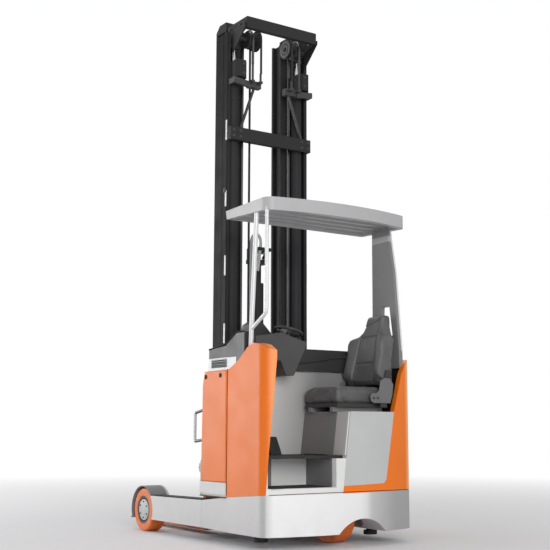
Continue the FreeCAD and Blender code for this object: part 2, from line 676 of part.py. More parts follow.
# Battery bay: tray, battery, side covers, vent band, hood
node("battery_block", box("battery", (-half + 45, half - 45), (bay_rear + 12, bay_front - 12),
                          (s.parting_middle + 12.3, s.bay_top - 30)))
cover_outline = [(bay_rear + 2, s.tray_top + 1), (bay_front, s.tray_top + 1),
                 (bay_front - 10, s.bay_top - 86), (bay_front - 33, s.bay_top),
                 (bay_rear + 2, s.bay_top)]
cover_left = prism("cover_left", "YZ", (-half - s.cover_proud, -half - s.cover_proud + s.cover_wall),
                   list(reversed(cover_outline)))
node("battery_side_covers", cover_left, mirror("battery_cover_right", cover_left))
end_outline = [(bay_rear + 2, s.parting_middle + 12.3), (bay_front + 10, s.parting_middle + 12.3),
               (bay_front + 10, s.tray_top), (bay_rear + 2, s.tray_top)]
end_left = prism("end_left", "YZ", (-half - s.cover_proud, -half - s.cover_proud + s.cover_wall),
                 list(reversed(end_outline)))
tray_floor = box("tray_floor", (-half, half), (bay_rear, bay_front),
                 (s.parting_middle, s.parting_middle + 12.3))
node("battery_tray", fuse("battery_tray_sum", tray_floor, end_left, mirror("end_right", end_left)))
vent_block = box("vent_block", (-half, half), (bay_rear, station(s.hood_front)),
                 (s.bay_top + 0.3, vent_top))
slot_pitch = s.vent_height * 0.6 / s.louvre_bars
slots = []
for number in range(int(plain(s.louvre_bars))):
    slot_low = s.bay_top + s.vent_height * 0.26 + slot_pitch * number
    for word, low, high in (("left", -half - 5, -half + 10), ("right", half - 10, half + 5)):
        slots.append(box(f"louvre_{word}_{number}", (low, high), (bay_rear + 12, bay_front - 115),
                         (slot_low, slot_low + slot_pitch * 0.6)))
node("vent_band", cut("vent_band_cut", vent_block, *slots))
hood_outline = [(bay_rear - 18, vent_top + 0.3), (station(s.hood_front), vent_top + 0.3),
                (station(s.hood_front), hood_top - 14),
                (bay_rear + 22, hood_top), (bay_rear - 18, hood_top)]
hood_shape = prism("hood_block", "YZ", (-half + 4, half - s.frame_wall - 4), hood_outline)
cowl_rear = bay_rear - 193
cowl_outline = [(cowl_rear, s.column_peak - 90), (bay_rear, s.bay_top + 0.3), (bay_rear, vent_top + 20),
                (bay_rear + 22, vent_top + 20), (bay_rear + 22, hood_top + 9),
                (bay_rear - 100, hood_top + s.cowl_rise), (cowl_rear, hood_top + s.cowl_rise)]
cowl = prism("cowl", "YZ", (-half + 4, -column_inner - 0.3), cowl_outline)
hump_outline = [(-half + 130, hood_top - 5), (-half + 152, hood_top + s.hump_rise - 26),
                (-half + 192, hood_top + s.hump_rise),
                (-half + 250, hood_top + s.hump_rise - 6), (-half + 320, hood_top + 90),
                (-half + 346, hood_top - 5)]
hump = prism("hump", "XZ", (bay_rear - 18, bay_rear + 74), hump_outline)
node("hood", cut("hood_cut", fuse("hood_sum", hood_shape, cowl, hump), column))
dash_outline = [(bay_rear - 30, s.bay_top + 6), (bay_rear - 18.3, s.bay_top + 6),
                (bay_rear - 18.3, hood_top), (bay_rear - 24, hood_top)]
node("dash_panel", cut("dash_cut",
                       prism("dash_block", "YZ", (-column_inner + 4, half - s.frame_wall - 4),
                             dash_outline), column))

# Controls
console_outline = [(-260, hood_top - 190), (-200, hood_top - 190), (-120, hood_top - 35),
                   (-95, hood_top + 28), (-300, hood_top + 83),
                   (-column_inner + 3, hood_top + 50), (-column_inner + 3, hood_top - 60),
                   (-300, hood_top - 100)]
console_rear = station(225)
console = prism("console_block", "XZ", (console_rear, bay_rear - 30.3), console_outline)
STEER_LEAN = 15
wheel_centre = (-190, station(305), hood_top + 102)
lean_turn = Rotation(Vector(0, 1, 0), STEER_LEAN)


def leaned(name, *pieces):
    """Pieces built about the steering axis, set on the console's sloping deck."""
    group = fuse(name, *pieces)
    group.Placement = Placement(Vector(), lean_turn)
    put(group, *wheel_centre)
    return group


steer_rim = fresh("Part::Torus", "steer_rim")
bind(steer_rim, "Radius1", 88)
bind(steer_rim, "Radius2", 10)
spokes = [box("steer_spoke_long", (-85, 85), (-9, 9), (-5, 5)),
          box("steer_spoke_short", (-9, 9), (0, 85), (-5, 5))]
steer_hub = rod("steer_hub", "Z", 24, 0, 0, (-20, 8))
steer_post = leaned("steer_post", rod("steer_post_bar", "Z", 16, 0, 0, (-60, -20.3)),
                    rod("steer_post_collar", "Z", 30, 0, 0, (-60, -32)))
node("steering_console", fuse("steering_console_sum", console, steer_post))
node("steering_wheel", leaned("steering_wheel_sum", steer_rim, steer_hub, *spokes))

# Overhead guard, posts and pillar
guard_side = [(station(s.guard_front), s.guard_top - 12 - s.guard_depth_front),
              (station(s.guard_front) + 12, s.guard_top - 12),
              (station(0), s.guard_top), (REAR_END, s.guard_top), (REAR_END, s.guard_top - s.guard_depth),
              (station(0), s.guard_top - s.guard_depth)]
guard_radius = (guard_half * guard_half + 80 * 80) / 160


def guard_prism(name, inset, low, high):
    """The guard's outline in plan, set in by an inset."""
    side = guard_half - inset
    rear = station(inset * 1)
    shape = prism(name, "XY", (low, high),
                  [(-side, station(s.guard_front) + 15 - inset), (-side, rear), (side, rear),
                   (side, station(s.guard_front) + 15 - inset)],
                  {1: guard_radius})
    back_edge = plain(rear)
    return rounded(name + "_corners", shape, plain(s.corner_radius) - plain(inset),
                   lambda edge: upright(edge) and edge.Vertexes[0].Point.y < back_edge + 1)


guard_block = common("guard_block",
                     guard_prism("guard_plan", s.guard_rim * 0, s.guard_top - 150, s.guard_top + 5),
                     prism("guard_profile", "YZ", (-CLEAR, CLEAR), guard_side))
guard_hollow = guard_prism("guard_hollow", s.guard_rim, s.guard_top - 160, s.guard_top - s.guard_skin - 14)
slats = [box(f"slat_{number}", (-guard_half + s.guard_rim, guard_half - s.guard_rim),
             (station(60 + 105 * number), station(100 + 105 * number)),
             (s.guard_top - s.guard_skin - 30, s.guard_top - s.guard_skin - 10)) for number in range(4)]
guard = fuse("overhead_guard_sum", cut("overhead_guard_cut", guard_block, guard_hollow), *slats)
node("overhead_guard", guard)

post_foot = station(202)
post = wire_tube("post_tube", s.post_radius,
                 [(-post_side, post_foot, s.column_peak - 60),
                  (-post_side, station(196), s.column_peak + 60),
                                              (-post_side, station(141), s.guard_top - s.guard_depth + 20)],
                 60.0)
rail_z = s.guard_top - s.guard_depth + 20
grab = wire_tube("grab_tube", s.post_radius - 3,
                 [(-post_side, station(22), rail_z), (-post_side, station(20), s.column_peak + 184),
                                                  (-post_side, station(180), s.column_peak + 99)], 45.0)
node("guard_post_left", cut("post_cut", fuse("post_sum", post, grab), column, guard))
pillar_outline = [(station(310), s.panel_peak - 60), (station(302), s.panel_peak + 337),
                  (station(300), s.guard_top - s.guard_depth + 14),
                  (station(135), s.guard_top - s.guard_depth + 14), (station(74), s.panel_peak + 582),
                  (station(25), s.panel_peak + 55), (station(22), s.panel_peak - 60)]
pillar_window = [(station(215), s.panel_peak + 147), (station(205), s.panel_peak + 362),
                 (station(120), s.panel_peak + 362), (station(90), s.panel_peak + 162)]
pillar = cut("pillar_cut",
             prism("pillar_plate", "YZ", (half - s.frame_wall - s.pillar_thick, half - s.frame_wall),
                   list(reversed(pillar_outline))),
             prism("pillar_window", "YZ", (half - s.frame_wall - s.pillar_thick - 5, half),
                   list(reversed(pillar_window))))
node("rear_pillar_right", cut("pillar_trim", pillar, guard, right_panel))

# Handle on the battery bay
handle = wire_tube("handle_tube", s.post_radius - 5,
                   [(-half + 14, bay_front - 16, s.bay_top - 244),
                    (-half + 14, bay_front + 123, s.bay_top - 267),
                    (-half + 14, bay_front + 123, s.tray_top + 252),
                    (-half + 14, bay_front - 16, s.tray_top + 267)], 12.0)
node("bay_handle", cut("handle_cut", handle, cover_left))

# Seat on its slide
seat_y = station(s.seat_station)
seat_half = s.seat_width / 2
seat_rear = s.seat_front + s.seat_length
rail_half = 17
pan_low = s.seat_level - 25
rails = [box(f"seat_rail_{word}", (s.seat_front + 10, seat_rear - 20),
             (seat_y + place - rail_half, seat_y + place + rail_half),
             (s.seat_box_top, pan_low - s.running_gap)) for word,
         place in (("rear", -s.seat_width * 0.32), ("front", s.seat_width * 0.32))]
node("seat_rails", *rails)
plate_inner = seat_half + 4
plate_outer = plate_inner + 8
ear_inner = plate_outer + s.running_gap
ear_outer = ear_inner + 10
hinge_x = seat_rear - 62
pan = box("seat_pan_plate", (s.seat_front + 15, seat_rear - 10),
          (seat_y - seat_half + 15, seat_y + seat_half - 15), (pan_low, s.seat_level - s.running_gap))
strap = box("seat_pan_strap", (hinge_x - 28, hinge_x + 28), (seat_y - ear_outer, seat_y + ear_outer),
            (pan_low, s.seat_level - 12))


def hinge_side(word, sign):
    """The ear and pin on one side of the pan, and the recliner plate between ear and cushion."""
    def across(low, high):
        """Limits along Y, from distances outwards of the seat's middle."""
        return (seat_y + low, seat_y + high) if sign > 0 else (seat_y - high, seat_y - low)
    ear = fuse(f"ear_{word}", box(f"ear_{word}_foot", (hinge_x - 24, hinge_x + 24),
                                  across(ear_inner, ear_outer), (pan_low, s.recliner_level)),
               rod(f"ear_{word}_head", "Y", 24, hinge_x, across(ear_inner, ear_outer), s.recliner_level),
               rod(f"ear_{word}_pin", "Y", 9, hinge_x, across(plate_inner + 1, ear_outer),
                   s.recliner_level))
    plate_shape = fuse(f"recliner_{word}_shape",
                       rod(f"recliner_{word}_boss", "Y", 30, hinge_x, across(plate_inner, plate_outer),
                           s.recliner_level),
                       prism(f"recliner_{word}_arm", "XZ", across(plate_inner, plate_outer),
                             [(hinge_x - 22, s.recliner_level), (hinge_x + 26, s.recliner_level - 10),
                              (seat_rear - 5, back_base + 20), (seat_rear + 20, back_base + 110),
                              (seat_rear - 30, back_base + 110)]))
    plate_cut = cut(f"recliner_{word}", plate_shape,
                    rod(f"recliner_{word}_bore", "Y", 9 + s.running_gap, hinge_x,
                        across(plate_inner - 1, plate_outer + 1), s.recliner_level))
    return ear, plate_cut


back_low = seat_rear - 60
back_base = s.seat_level + s.seat_thick + s.back_gap
ear_rear, plate_rear = hinge_side("rear", -1)
ear_front, plate_front = hinge_side("front", 1)
node("seat_pan", fuse("seat_pan_sum", pan, strap, ear_rear, ear_front))
cushion = rounded("cushion_round",
                  box("cushion_block", (s.seat_front, seat_rear - 10),
                      (seat_y - seat_half, seat_y + seat_half),
                      (s.seat_level, s.seat_level + s.seat_thick)), 25,
                  lambda edge: True)
node("seat_cushion", cushion)
lean_rise = s.back_height * math.tan(math.radians(plain(s.back_lean)))
back_outline = [(back_low, back_base), (back_low + s.back_thick, back_base),
                (back_low + s.back_thick + lean_rise * 0.65, back_base + s.back_height),
                (back_low + lean_rise, back_base + s.back_height)]
back_half = plate_inner - s.running_gap
head_y = seat_y - s.headrest_shift
shoulder_z = back_base + s.back_shoulder
back_front = [(seat_y - back_half, back_base - 5), (seat_y + back_half, back_base - 5),
              (seat_y + back_half - 10, shoulder_z),
              (head_y + s.headrest_half + 12, shoulder_z + 70),
              (head_y + s.headrest_half - 14, back_base + s.back_height + 5),
              (head_y - s.headrest_half + 14, back_base + s.back_height + 5),
              (head_y - s.headrest_half - 12, shoulder_z + 70),
              (seat_y - back_half + 10, shoulder_z)]
back_block = common("backrest_block",
                    prism("backrest_side", "XZ", (seat_y - back_half, seat_y + back_half), back_outline),
                    prism("backrest_front", "YZ", (back_low - 50, back_low + s.back_thick + lean_rise + 50),
                          back_front))
backrest = rounded("backrest_round", back_block, 16, lambda edge: True)
node("seat_backrest", backrest)
node("seat_recliner", plate_rear, plate_front)

# Places across and along the mast
mast_half = leg_inner - s.mast_gap
mast_rear = station(s.mast_rear)
middle_half = mast_half - s.middle_inset
middle_tip = middle_half - s.middle_width
inner_half = middle_tip - s.stage_gap
inner_tip = inner_half - s.inner_width
middle_rear = mast_rear + s.middle_step
middle_front = middle_rear + s.middle_depth
inner_rear = mast_rear + s.inner_step
inner_front = inner_rear + s.inner_depth
outer_top = s.beam_top - s.outer_drop
middle_top = s.beam_top + s.middle_rise
inner_top = s.beam_top - s.inner_drop
lift_side = mast_half - s.lift_inset
lift_y = mast_rear + s.lift_forward
clamp_top = s.beam_top - s.clamp_drop
clamp_low = clamp_top - s.clamp_height
lower_beam_top = s.beam_top - s.lower_beam_drop


def rail_outline(low, high, rear, front, web_low, front_high):
    """Plan outline of the left rail of a stage: a web with flanges from low to high."""
    web_high = web_low + s.rail_web
    rear_face = rear + s.rail_flange
    front_face = front - s.rail_flange
    corners = [(low, rear), (high, rear), (high, rear_face), (web_high, rear_face),
               (web_high, front_face), (front_high, front_face), (front_high, front), (low, front)]
    if plain(web_low) > plain(low) + 1:
        corners += [(low, front_face), (web_low, front_face), (web_low, rear_face), (low, rear_face)]
    return corners


def slide_pads(name, across, along, top):
    """Slide pads on a left rail: the limits across, along, and the top of each."""
    return [box(f"{name}_{number}", across, along, (high - 120, high)) for number, high in enumerate(top)]


# Outer stage
outer_rail = prism("outer_rail", "XY", (s.rail_foot, outer_top),
                   rail_outline(-mast_half, -mast_half + s.outer_lip, mast_rear, mast_rear + s.outer_depth,
                                -mast_half, -mast_half + s.outer_lip))
outer_pads = slide_pads("outer_pad", (-mast_half + s.rail_web, -middle_half - s.running_gap),
                        (middle_rear, middle_rear + s.rail_flange), [outer_top - 40])
outer_left = fuse("outer_left", outer_rail, *outer_pads)
node("outer_mast_rails", outer_left, mirror("outer_right", outer_left))
lower_span = (lower_beam_top - s.lower_beam_height, lower_beam_top)
lower_y = mast_rear - s.lower_beam_back
lower_end = box("lower_beam_end", (-mast_half, -mast_half + 30), (lower_y, mast_rear), lower_span)
node("lower_crossbeam", fuse("lower_crossbeam_sum",
                             box("lower_beam", (-mast_half, mast_half), (lower_y, lower_y + 20),
                                 lower_span),
                             lower_end, mirror("lower_beam_end_right", lower_end)))
barrel = cut("barrel", rod("barrel_outer", "Z", s.lift_radius, -lift_side, lift_y,
                           (s.rail_slot_high + 30, clamp_low)),
             rod("barrel_bore", "Z", s.lift_rod_radius + s.running_gap, -lift_side, lift_y,
                 (s.rail_slot_high + 60, clamp_low + 5)))
node("lift_cylinder_barrels", barrel, mirror("barrel_right", barrel))
clamp_outer = mast_half - s.outer_lip
clamp_inner = lift_side - s.lift_radius - 10
clamp_front = lift_y + s.lift_radius
clamp_rear = clamp_front - 174
clamp_outline = [(-clamp_outer, clamp_front), (-clamp_outer, clamp_rear + 33),
                 (-clamp_outer + 24, clamp_rear), (-clamp_inner - 24, clamp_rear),
                 (-clamp_inner, clamp_rear + 33), (-clamp_inner, clamp_front)]
clamp = cut("cylinder_clamp", prism("cylinder_clamp_block", "XY", (clamp_low, clamp_top), clamp_outline),
            rod("clamp_bore", "Z", s.lift_rod_radius + s.running_gap, -lift_side, lift_y,
                (clamp_low - 5, clamp_top + 5)))
node("cylinder_clamps", clamp, mirror("clamp_right", clamp))

# Mast head brackets: arm, end block, strut to the lower beam, and anchors of a chain and a hose
bracket_top = s.beam_top - s.bracket_drop
bracket_low = bracket_top - s.bracket_height
arm_y = mast_rear - 82
block_inner = s.hose_side - 28
block_outer = s.chain_side + 6
arm = prism("bracket_arm", "XZ", (arm_y, arm_y + 22),
            [(-mast_half + 6, bracket_low + 10), (-mast_half + 6, bracket_top + 3),
             (-block_outer + 6, bracket_top - 14), (-block_outer + 6, bracket_low - 9)])
link = box("bracket_link", (-mast_half + 6, -mast_half + 20), (arm_y, mast_rear),
           (bracket_low + 10, bracket_top))
end_block = box("bracket_block", (-block_outer, -block_inner), (arm_y + 10, mast_rear - 27),
                (bracket_low, bracket_top))
strut = prism("bracket_strut", "XZ", (lower_y, lower_y + 16),
              [(-lift_side + 8, lower_beam_top), (-lift_side + 24, lower_beam_top),
               (-s.hose_side - 7, bracket_low + 9), (-s.hose_side - 23, bracket_low + 9)])
pulley_y = mast_rear - s.pulley_back
pulley_z = s.beam_top - s.pulley_drop
anchor_y = pulley_y - s.strand_reach
anchors = []
for word, across, top in (("chain", s.chain_side, bracket_top + 117),
                          ("hose", s.hose_side, bracket_top + 50)):
    anchors.append(box(f"{word}_anchor_plate", (-across - 12, -across + 12), (anchor_y - 12, arm_y + 15),
                       (bracket_top - 24, bracket_top - 8)))
    anchors.append(rod(f"{word}_anchor_stud", "Z", 8, -across, anchor_y, (bracket_top - 20, top)))
bracket_left = fuse("bracket_left", arm, link, end_block, strut, *anchors)
node("mast_head_brackets", bracket_left, mirror("bracket_right", bracket_left))

# Reach carriage
reach_side = box("reach_side", (-mast_half - 24, -mast_half),
                 (mast_rear - 70, mast_rear + s.outer_depth + 10), (s.rail_foot + 30, 450))
cross_bar = box("reach_cross_bar", (-mast_half, mast_half), (mast_rear - 80, mast_rear),
                (s.rail_slot_low, s.rail_slot_high + 30))
cylinder_seat = box("cylinder_seat", (-lift_side - 40, -lift_side + 34),
                    (mast_rear - 5, lift_y + s.lift_radius), (s.rail_slot_high, s.rail_slot_high + 30))
stub_out = -leg_inner - s.rail_slot_depth + 12
channel_mid = (s.rail_slot_low + s.rail_slot_high) / 2
guide_radius = (s.rail_slot_high - s.rail_slot_low) / 2 - s.running_gap
reach_wheels = []
for number, place in enumerate((mast_rear - 40, mast_rear + 83)):
    reach_wheels.append(rod(f"reach_stub_{number}", "X", 16, (stub_out, -mast_half - 20), place,
                            channel_mid))
    reach_wheels.append(rod(f"reach_roller_{number}", "X", guide_radius, (stub_out, -leg_inner - 6), place,
                            channel_mid))
reach_left = fuse("reach_left", reach_side, cylinder_seat, *reach_wheels)
node("reach_carriage", fuse("reach_carriage_sum", cross_bar, reach_left, mirror("reach_right", reach_left)))

# Middle stage with its caps and guides
cap_low = middle_top - s.cap_height
middle_web = (-middle_half - middle_tip - s.rail_web) / 2
middle_bar = prism("middle_rail", "XY", (s.rail_foot, cap_low),
                   rail_outline(-middle_half, -middle_tip, middle_rear, middle_front, middle_web,
                                -middle_tip))
cap_outline = [(middle_rear, cap_low), (middle_front, cap_low), (middle_front, middle_top - 45),
               (middle_front - 48, middle_top), (middle_rear, middle_top)]
cap = prism("middle_cap", "YZ", (-middle_half, -middle_tip), cap_outline)
cap_gap = box("cap_window", (-middle_half - 5, -middle_tip + 5),
              (middle_rear + s.rail_flange + 6, middle_front - s.rail_flange - 6),
              (cap_low - s.cap_window, cap_low))
middle_pads = slide_pads("middle_foot_pad", (-mast_half + s.rail_web + s.running_gap, -middle_half),
                         (middle_rear, middle_rear + s.rail_flange),
                         [s.rail_foot + 160])
middle_pads += slide_pads("middle_head_pad", (-middle_tip, -inner_half - s.running_gap),
                          (middle_front - s.rail_flange, middle_front), [inner_top - 40])
middle_left = fuse("middle_left", cut("middle_cut", fuse("middle_sum", middle_bar, cap), cap_gap),
                   *middle_pads)
node("middle_mast_rails", middle_left, mirror("middle_right", middle_left))

# Top beam with gussets, rod seats and the pulleys' axles
beam_y = mast_rear - s.beam_back
beam_front = beam_y + s.beam_thick
beam_half = mast_half - s.beam_inset
beam_low = s.beam_top - s.beam_height
rod_top = s.beam_top - s.rod_drop
gusset_inner = beam_half - s.gusset_thick
gusset_outline = [(beam_front, s.beam_top), (beam_front, beam_low), (middle_rear, rod_top),
                  (middle_rear, s.beam_top)]
eye = rod("gusset_eye", "X", s.eye_radius, (-beam_half - 5, -gusset_inner + 5), mast_rear - s.eye_back,
          s.beam_top - s.eye_drop)
gusset = cut("gusset_cut", prism("gusset", "YZ", (-beam_half, -gusset_inner), gusset_outline), eye)
rod_seat = box("rod_seat", (-middle_half, -lift_side + 34), (lift_y - 26, middle_rear),
               (rod_top + s.running_gap, rod_top + 32))
pulley_axle = rod("pulley_axle", "X", 14, (-gusset_inner - 2, -s.hose_side + 20), pulley_y, pulley_z)
beam_left = fuse("beam_left", gusset, rod_seat, pulley_axle)
node("top_beam", fuse("top_beam_sum",
                      box("top_beam_bar", (-beam_half, beam_half), (beam_y, beam_front),
                          (beam_low, s.beam_top)),
                      beam_left, mirror("beam_right", beam_left)))


def head_pulley(name, across, radius, groove, width):
    """A grooved pulley on the left axle, and its pair on the right."""
    rim = rod(name + "_rim", "X", radius, (-across - width, -across + width), pulley_y, pulley_z)
    ring = cut(name + "_ring",
               rod(name + "_ring_outer", "X", radius + 5, (-across - width + 4, -across + width - 4),
                   pulley_y, pulley_z),
               rod(name + "_ring_inner", "X", groove, (-across - width, -across + width), pulley_y,
                   pulley_z))
    bore = rod(name + "_bore", "X", 14 + s.running_gap, (-across - width - 5, -across + width + 5),
               pulley_y, pulley_z)
    pulley = cut(name + "_cut", rim, ring, bore)
    node(name + "s", pulley, mirror(name + "_right", pulley))


head_pulley("hose_pulley", s.hose_side, s.pulley_radius, s.pulley_radius - 9, 12)
head_pulley("chain_sheave", s.chain_side, s.chain_radius, s.chain_radius - 6, 17)
rod_low = clamp_top - s.lift_travel - 150
lift_rod = rod("lift_rod", "Z", s.lift_rod_radius, -lift_side, lift_y, (rod_low, rod_top))
node("lift_cylinder_rods", lift_rod, mirror("lift_rod_right", lift_rod))

# Inner stage
inner_web = -inner_half + 8
inner_outline = rail_outline(-inner_half, -inner_tip, inner_rear, inner_front, inner_web, -inner_tip - 18)
inner_bar = prism("inner_rail", "XY", (s.rail_foot, inner_top), inner_outline)
inner_trim = box("inner_trim", (-inner_half - 5, -inner_half + 4),
                 (inner_rear - 5, inner_rear + s.rail_flange + 5), (s.rail_foot - 5, inner_top + 5))
inner_pads = slide_pads("inner_foot_pad", (-middle_tip + s.running_gap, -inner_half),
                        (inner_front - s.rail_flange, inner_front), [s.rail_foot + 160])
inner_left = fuse("inner_left", cut("inner_cut", inner_bar, inner_trim), *inner_pads)
node("inner_mast_rails", inner_left, mirror("inner_right", inner_left))
upper_bar_low = lower_beam_top - 62
node("inner_crossbars", *[box(f"inner_crossbar_{number}", (-inner_tip, inner_tip),
                              (inner_rear, inner_rear + s.crossbar_thick), (level, level + 80))
                          for number, level in enumerate((s.rail_foot + 10, upper_bar_low))])
chain_foot = box("chain_foot", (-s.chain_side - 13, -s.chain_side + 13),
                 (pulley_y + s.strand_reach - 12, inner_rear), (s.rail_foot + 20, s.rail_foot + 60))
node("chain_feet", chain_foot, mirror("chain_foot_right", chain_foot))
free_y = inner_rear + s.crossbar_thick + s.free_radius
free_barrel = cut("free_barrel",
                  rod("free_barrel_outer", "Z", s.free_radius, 0, free_y, (s.rail_foot + 20, s.free_top)),
                  rod("free_barrel_bore", "Z", s.free_rod_radius + s.running_gap, 0, free_y,
                      (s.rail_foot + 60, s.free_top + 5)))
node("free_lift_barrel", free_barrel)

# Free lift head
head_block = box("head_block", (-70, 70), (free_y - 40, free_y + 40),
                 (s.head_level - 88, s.head_level - 58))
free_rod = rod("free_rod", "Z", s.free_rod_radius, 0, free_y,
               (s.free_top - s.carriage_travel / 2 - 120, s.head_level - 70))
cheeks = [box(f"head_cheek_{number}", (low, low + 8), (free_y - 30, free_y + 30),
              (s.head_level - 60, s.head_level + 24)) for number, low in enumerate((-70, 62))]
axle_pin = rod("head_pin", "X", 12, (-66, 66), free_y, s.head_level)
node("free_lift_head", fuse("free_lift_head_sum", head_block, free_rod, *cheeks, axle_pin))
sheaves = [cut(f"head_sheave_{number}",
               rod(f"head_sheave_disc_{number}", "X", s.sheave_radius, (low, low + 26), free_y,
                   s.head_level),
               rod(f"head_sheave_bore_{number}", "X", 12.3, (low - 5, low + 31), free_y,
                   s.head_level)) for number, low in enumerate((-56, 30))]
node("head_sheaves", *sheaves)

# Lift carriage
carriage_front = station(carriage_back)
bar_front = carriage_front + s.bar_thick
bar_half = s.fork_inset + s.fork_width
plate_inner_side = -inner_tip + 26
plate_left = box("carriage_plate_left", (-inner_tip + 8, plate_inner_side),
                 (inner_rear + s.rail_flange + 10, bar_front), (s.rail_foot, 560))
roller_y = inner_rear + s.inner_depth / 2
roller_radius = s.inner_depth / 2 - s.rail_flange - s.running_gap
roller_out = inner_web + s.rail_web + s.running_gap
rollers_left = [rod(f"carriage_roller_{number}", "X", roller_radius, (roller_out, plate_inner_side - 8),
                    roller_y, level)
                for number, level in enumerate((s.rail_foot + 66, 495))]
carriage_left = fuse("carriage_left", plate_left, *rollers_left)
bars = [box(f"carriage_bar_{number}", (-bar_half, bar_half), (carriage_front, bar_front),
            (level, level + 100)) for number, level in enumerate((100, 430))]
tilt_rear = bar_front + s.tilt_gap
tilt_front = tilt_rear + s.tilt_thick
pin_y = tilt_rear - 2
lug_radius = 16
pin_radius = 9
lugs = []
for number, low in enumerate((-262, -212, 184, 234)):
    lugs.append(box(f"tilt_lug_{number}", (low, low + 28), (carriage_front, pin_y),
                    (s.tilt_axis_level - lug_radius, s.tilt_axis_level + lug_radius)))
    lugs.append(rod(f"tilt_lug_round_{number}", "X", lug_radius - 3, (low, low + 28), pin_y,
                    s.tilt_axis_level))
pins = [rod(f"tilt_pin_{number}", "X", pin_radius, (low, low + 78), pin_y, s.tilt_axis_level) for number,
        low in enumerate((-262, 184))]
node("lift_carriage", fuse("lift_carriage_sum", carriage_left, mirror("carriage_right", carriage_left),
                           *bars, *lugs, *pins))

# Tilt frame, side shift frame and forks
frame_half = 280
tilt_bars = [box("tilt_bar_low", (-frame_half, frame_half), (tilt_rear, tilt_front), (105, 190)),
             box("tilt_bar_high", (-frame_half, frame_half), (tilt_rear, tilt_front), (430, 478)),
             box("tilt_bar_left", (-frame_half, -frame_half + 50), (tilt_rear, tilt_front), (105, 478)),
             box("tilt_bar_right", (frame_half - 50, frame_half), (tilt_rear, tilt_front), (105, 478))]
knuckles = []
for number, low in enumerate((-262 + 28 + 1, 184 + 28 + 1)):
    knuckles.append(box(f"knuckle_{number}", (low, low + 20), (pin_y, tilt_front),
                        (470, s.tilt_axis_level + 13)))
    knuckles.append(rod(f"knuckle_round_{number}", "X", 13, (low, low + 20), pin_y, s.tilt_axis_level))
knuckle_bores = [rod(f"knuckle_bore_{number}", "X", pin_radius + s.running_gap, (low, low + 40), pin_y,
                     s.tilt_axis_level) for number, low in enumerate((-262 + 20, 184 + 20))]
node("tilt_frame", cut("tilt_frame_cut", fuse("tilt_frame_sum", *tilt_bars, *knuckles), *knuckle_bores))
shift_rear = tilt_front + s.running_gap
shift_front = shift_rear + s.shift_thick
node("side_shift_frame", fuse("side_shift_sum",
                              box("shift_bar_low", (-320, 320), (shift_rear, shift_front), (110, 190)),
                              box("shift_bar_high", (-320, 320), (shift_rear, shift_front), (400, 470)),
                              box("shift_post_left", (-60, -20), (shift_rear, shift_front), (110, 470)),
                              box("shift_post_right", (20, 60), (shift_rear, shift_front), (110, 470))))
shank_rear = shift_front
fork_tip = station(fork_face + s.fork_length)
fork_outline = [(shank_rear, s.fork_bottom), (fork_tip, s.fork_bottom), (fork_tip, s.fork_bottom + 10),
                (fork_tip - 400, s.fork_bottom + s.fork_thick),
                (shank_rear + s.fork_thick, s.fork_bottom + s.fork_thick),
                (shank_rear + s.fork_thick, s.fork_top), (shank_rear - 14, s.fork_top),
                (shank_rear - 14, s.fork_top - 28), (shank_rear, s.fork_top - 28)]
fork_left = prism("fork_left_shape", "YZ", (-s.fork_inset - s.fork_width, -s.fork_inset), fork_outline)
node("fork_left", fork_left)
node("fork_right", mirror("fork_right_mirror", fork_left))

doc.recompute()
for thing in doc.Objects:
    if "Invalid" in thing.State or "Error" in thing.State:
        raise RuntimeError(f"{thing.Label} failed: {thing.State}")
os.makedirs("parts", exist_ok=True)
for group in NODES:
    shape = group.Shape
    if shape.isNull() or not shape.isValid() or not shape.Solids:
        raise RuntimeError(f"{group.Label} is not a valid solid")
    shape.exportStep(f"parts/{group.Label}.step")
    print(f"{group.Label}: {len(shape.Solids)} solids, {shape.Volume / 1e6:.2f} litres")
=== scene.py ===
"""Dress a sit-on reach truck for rendering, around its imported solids.

Every length is in metres in the truck's own frame: +Z up, +Y towards the
forks, +X to the truck's right, origin on the floor under its middle.
"""
import json
import logging
import math
from dataclasses import dataclass, field
from enum import Enum
from typing import Sequence

import bpy
import numpy
from mathutils import Matrix, Vector


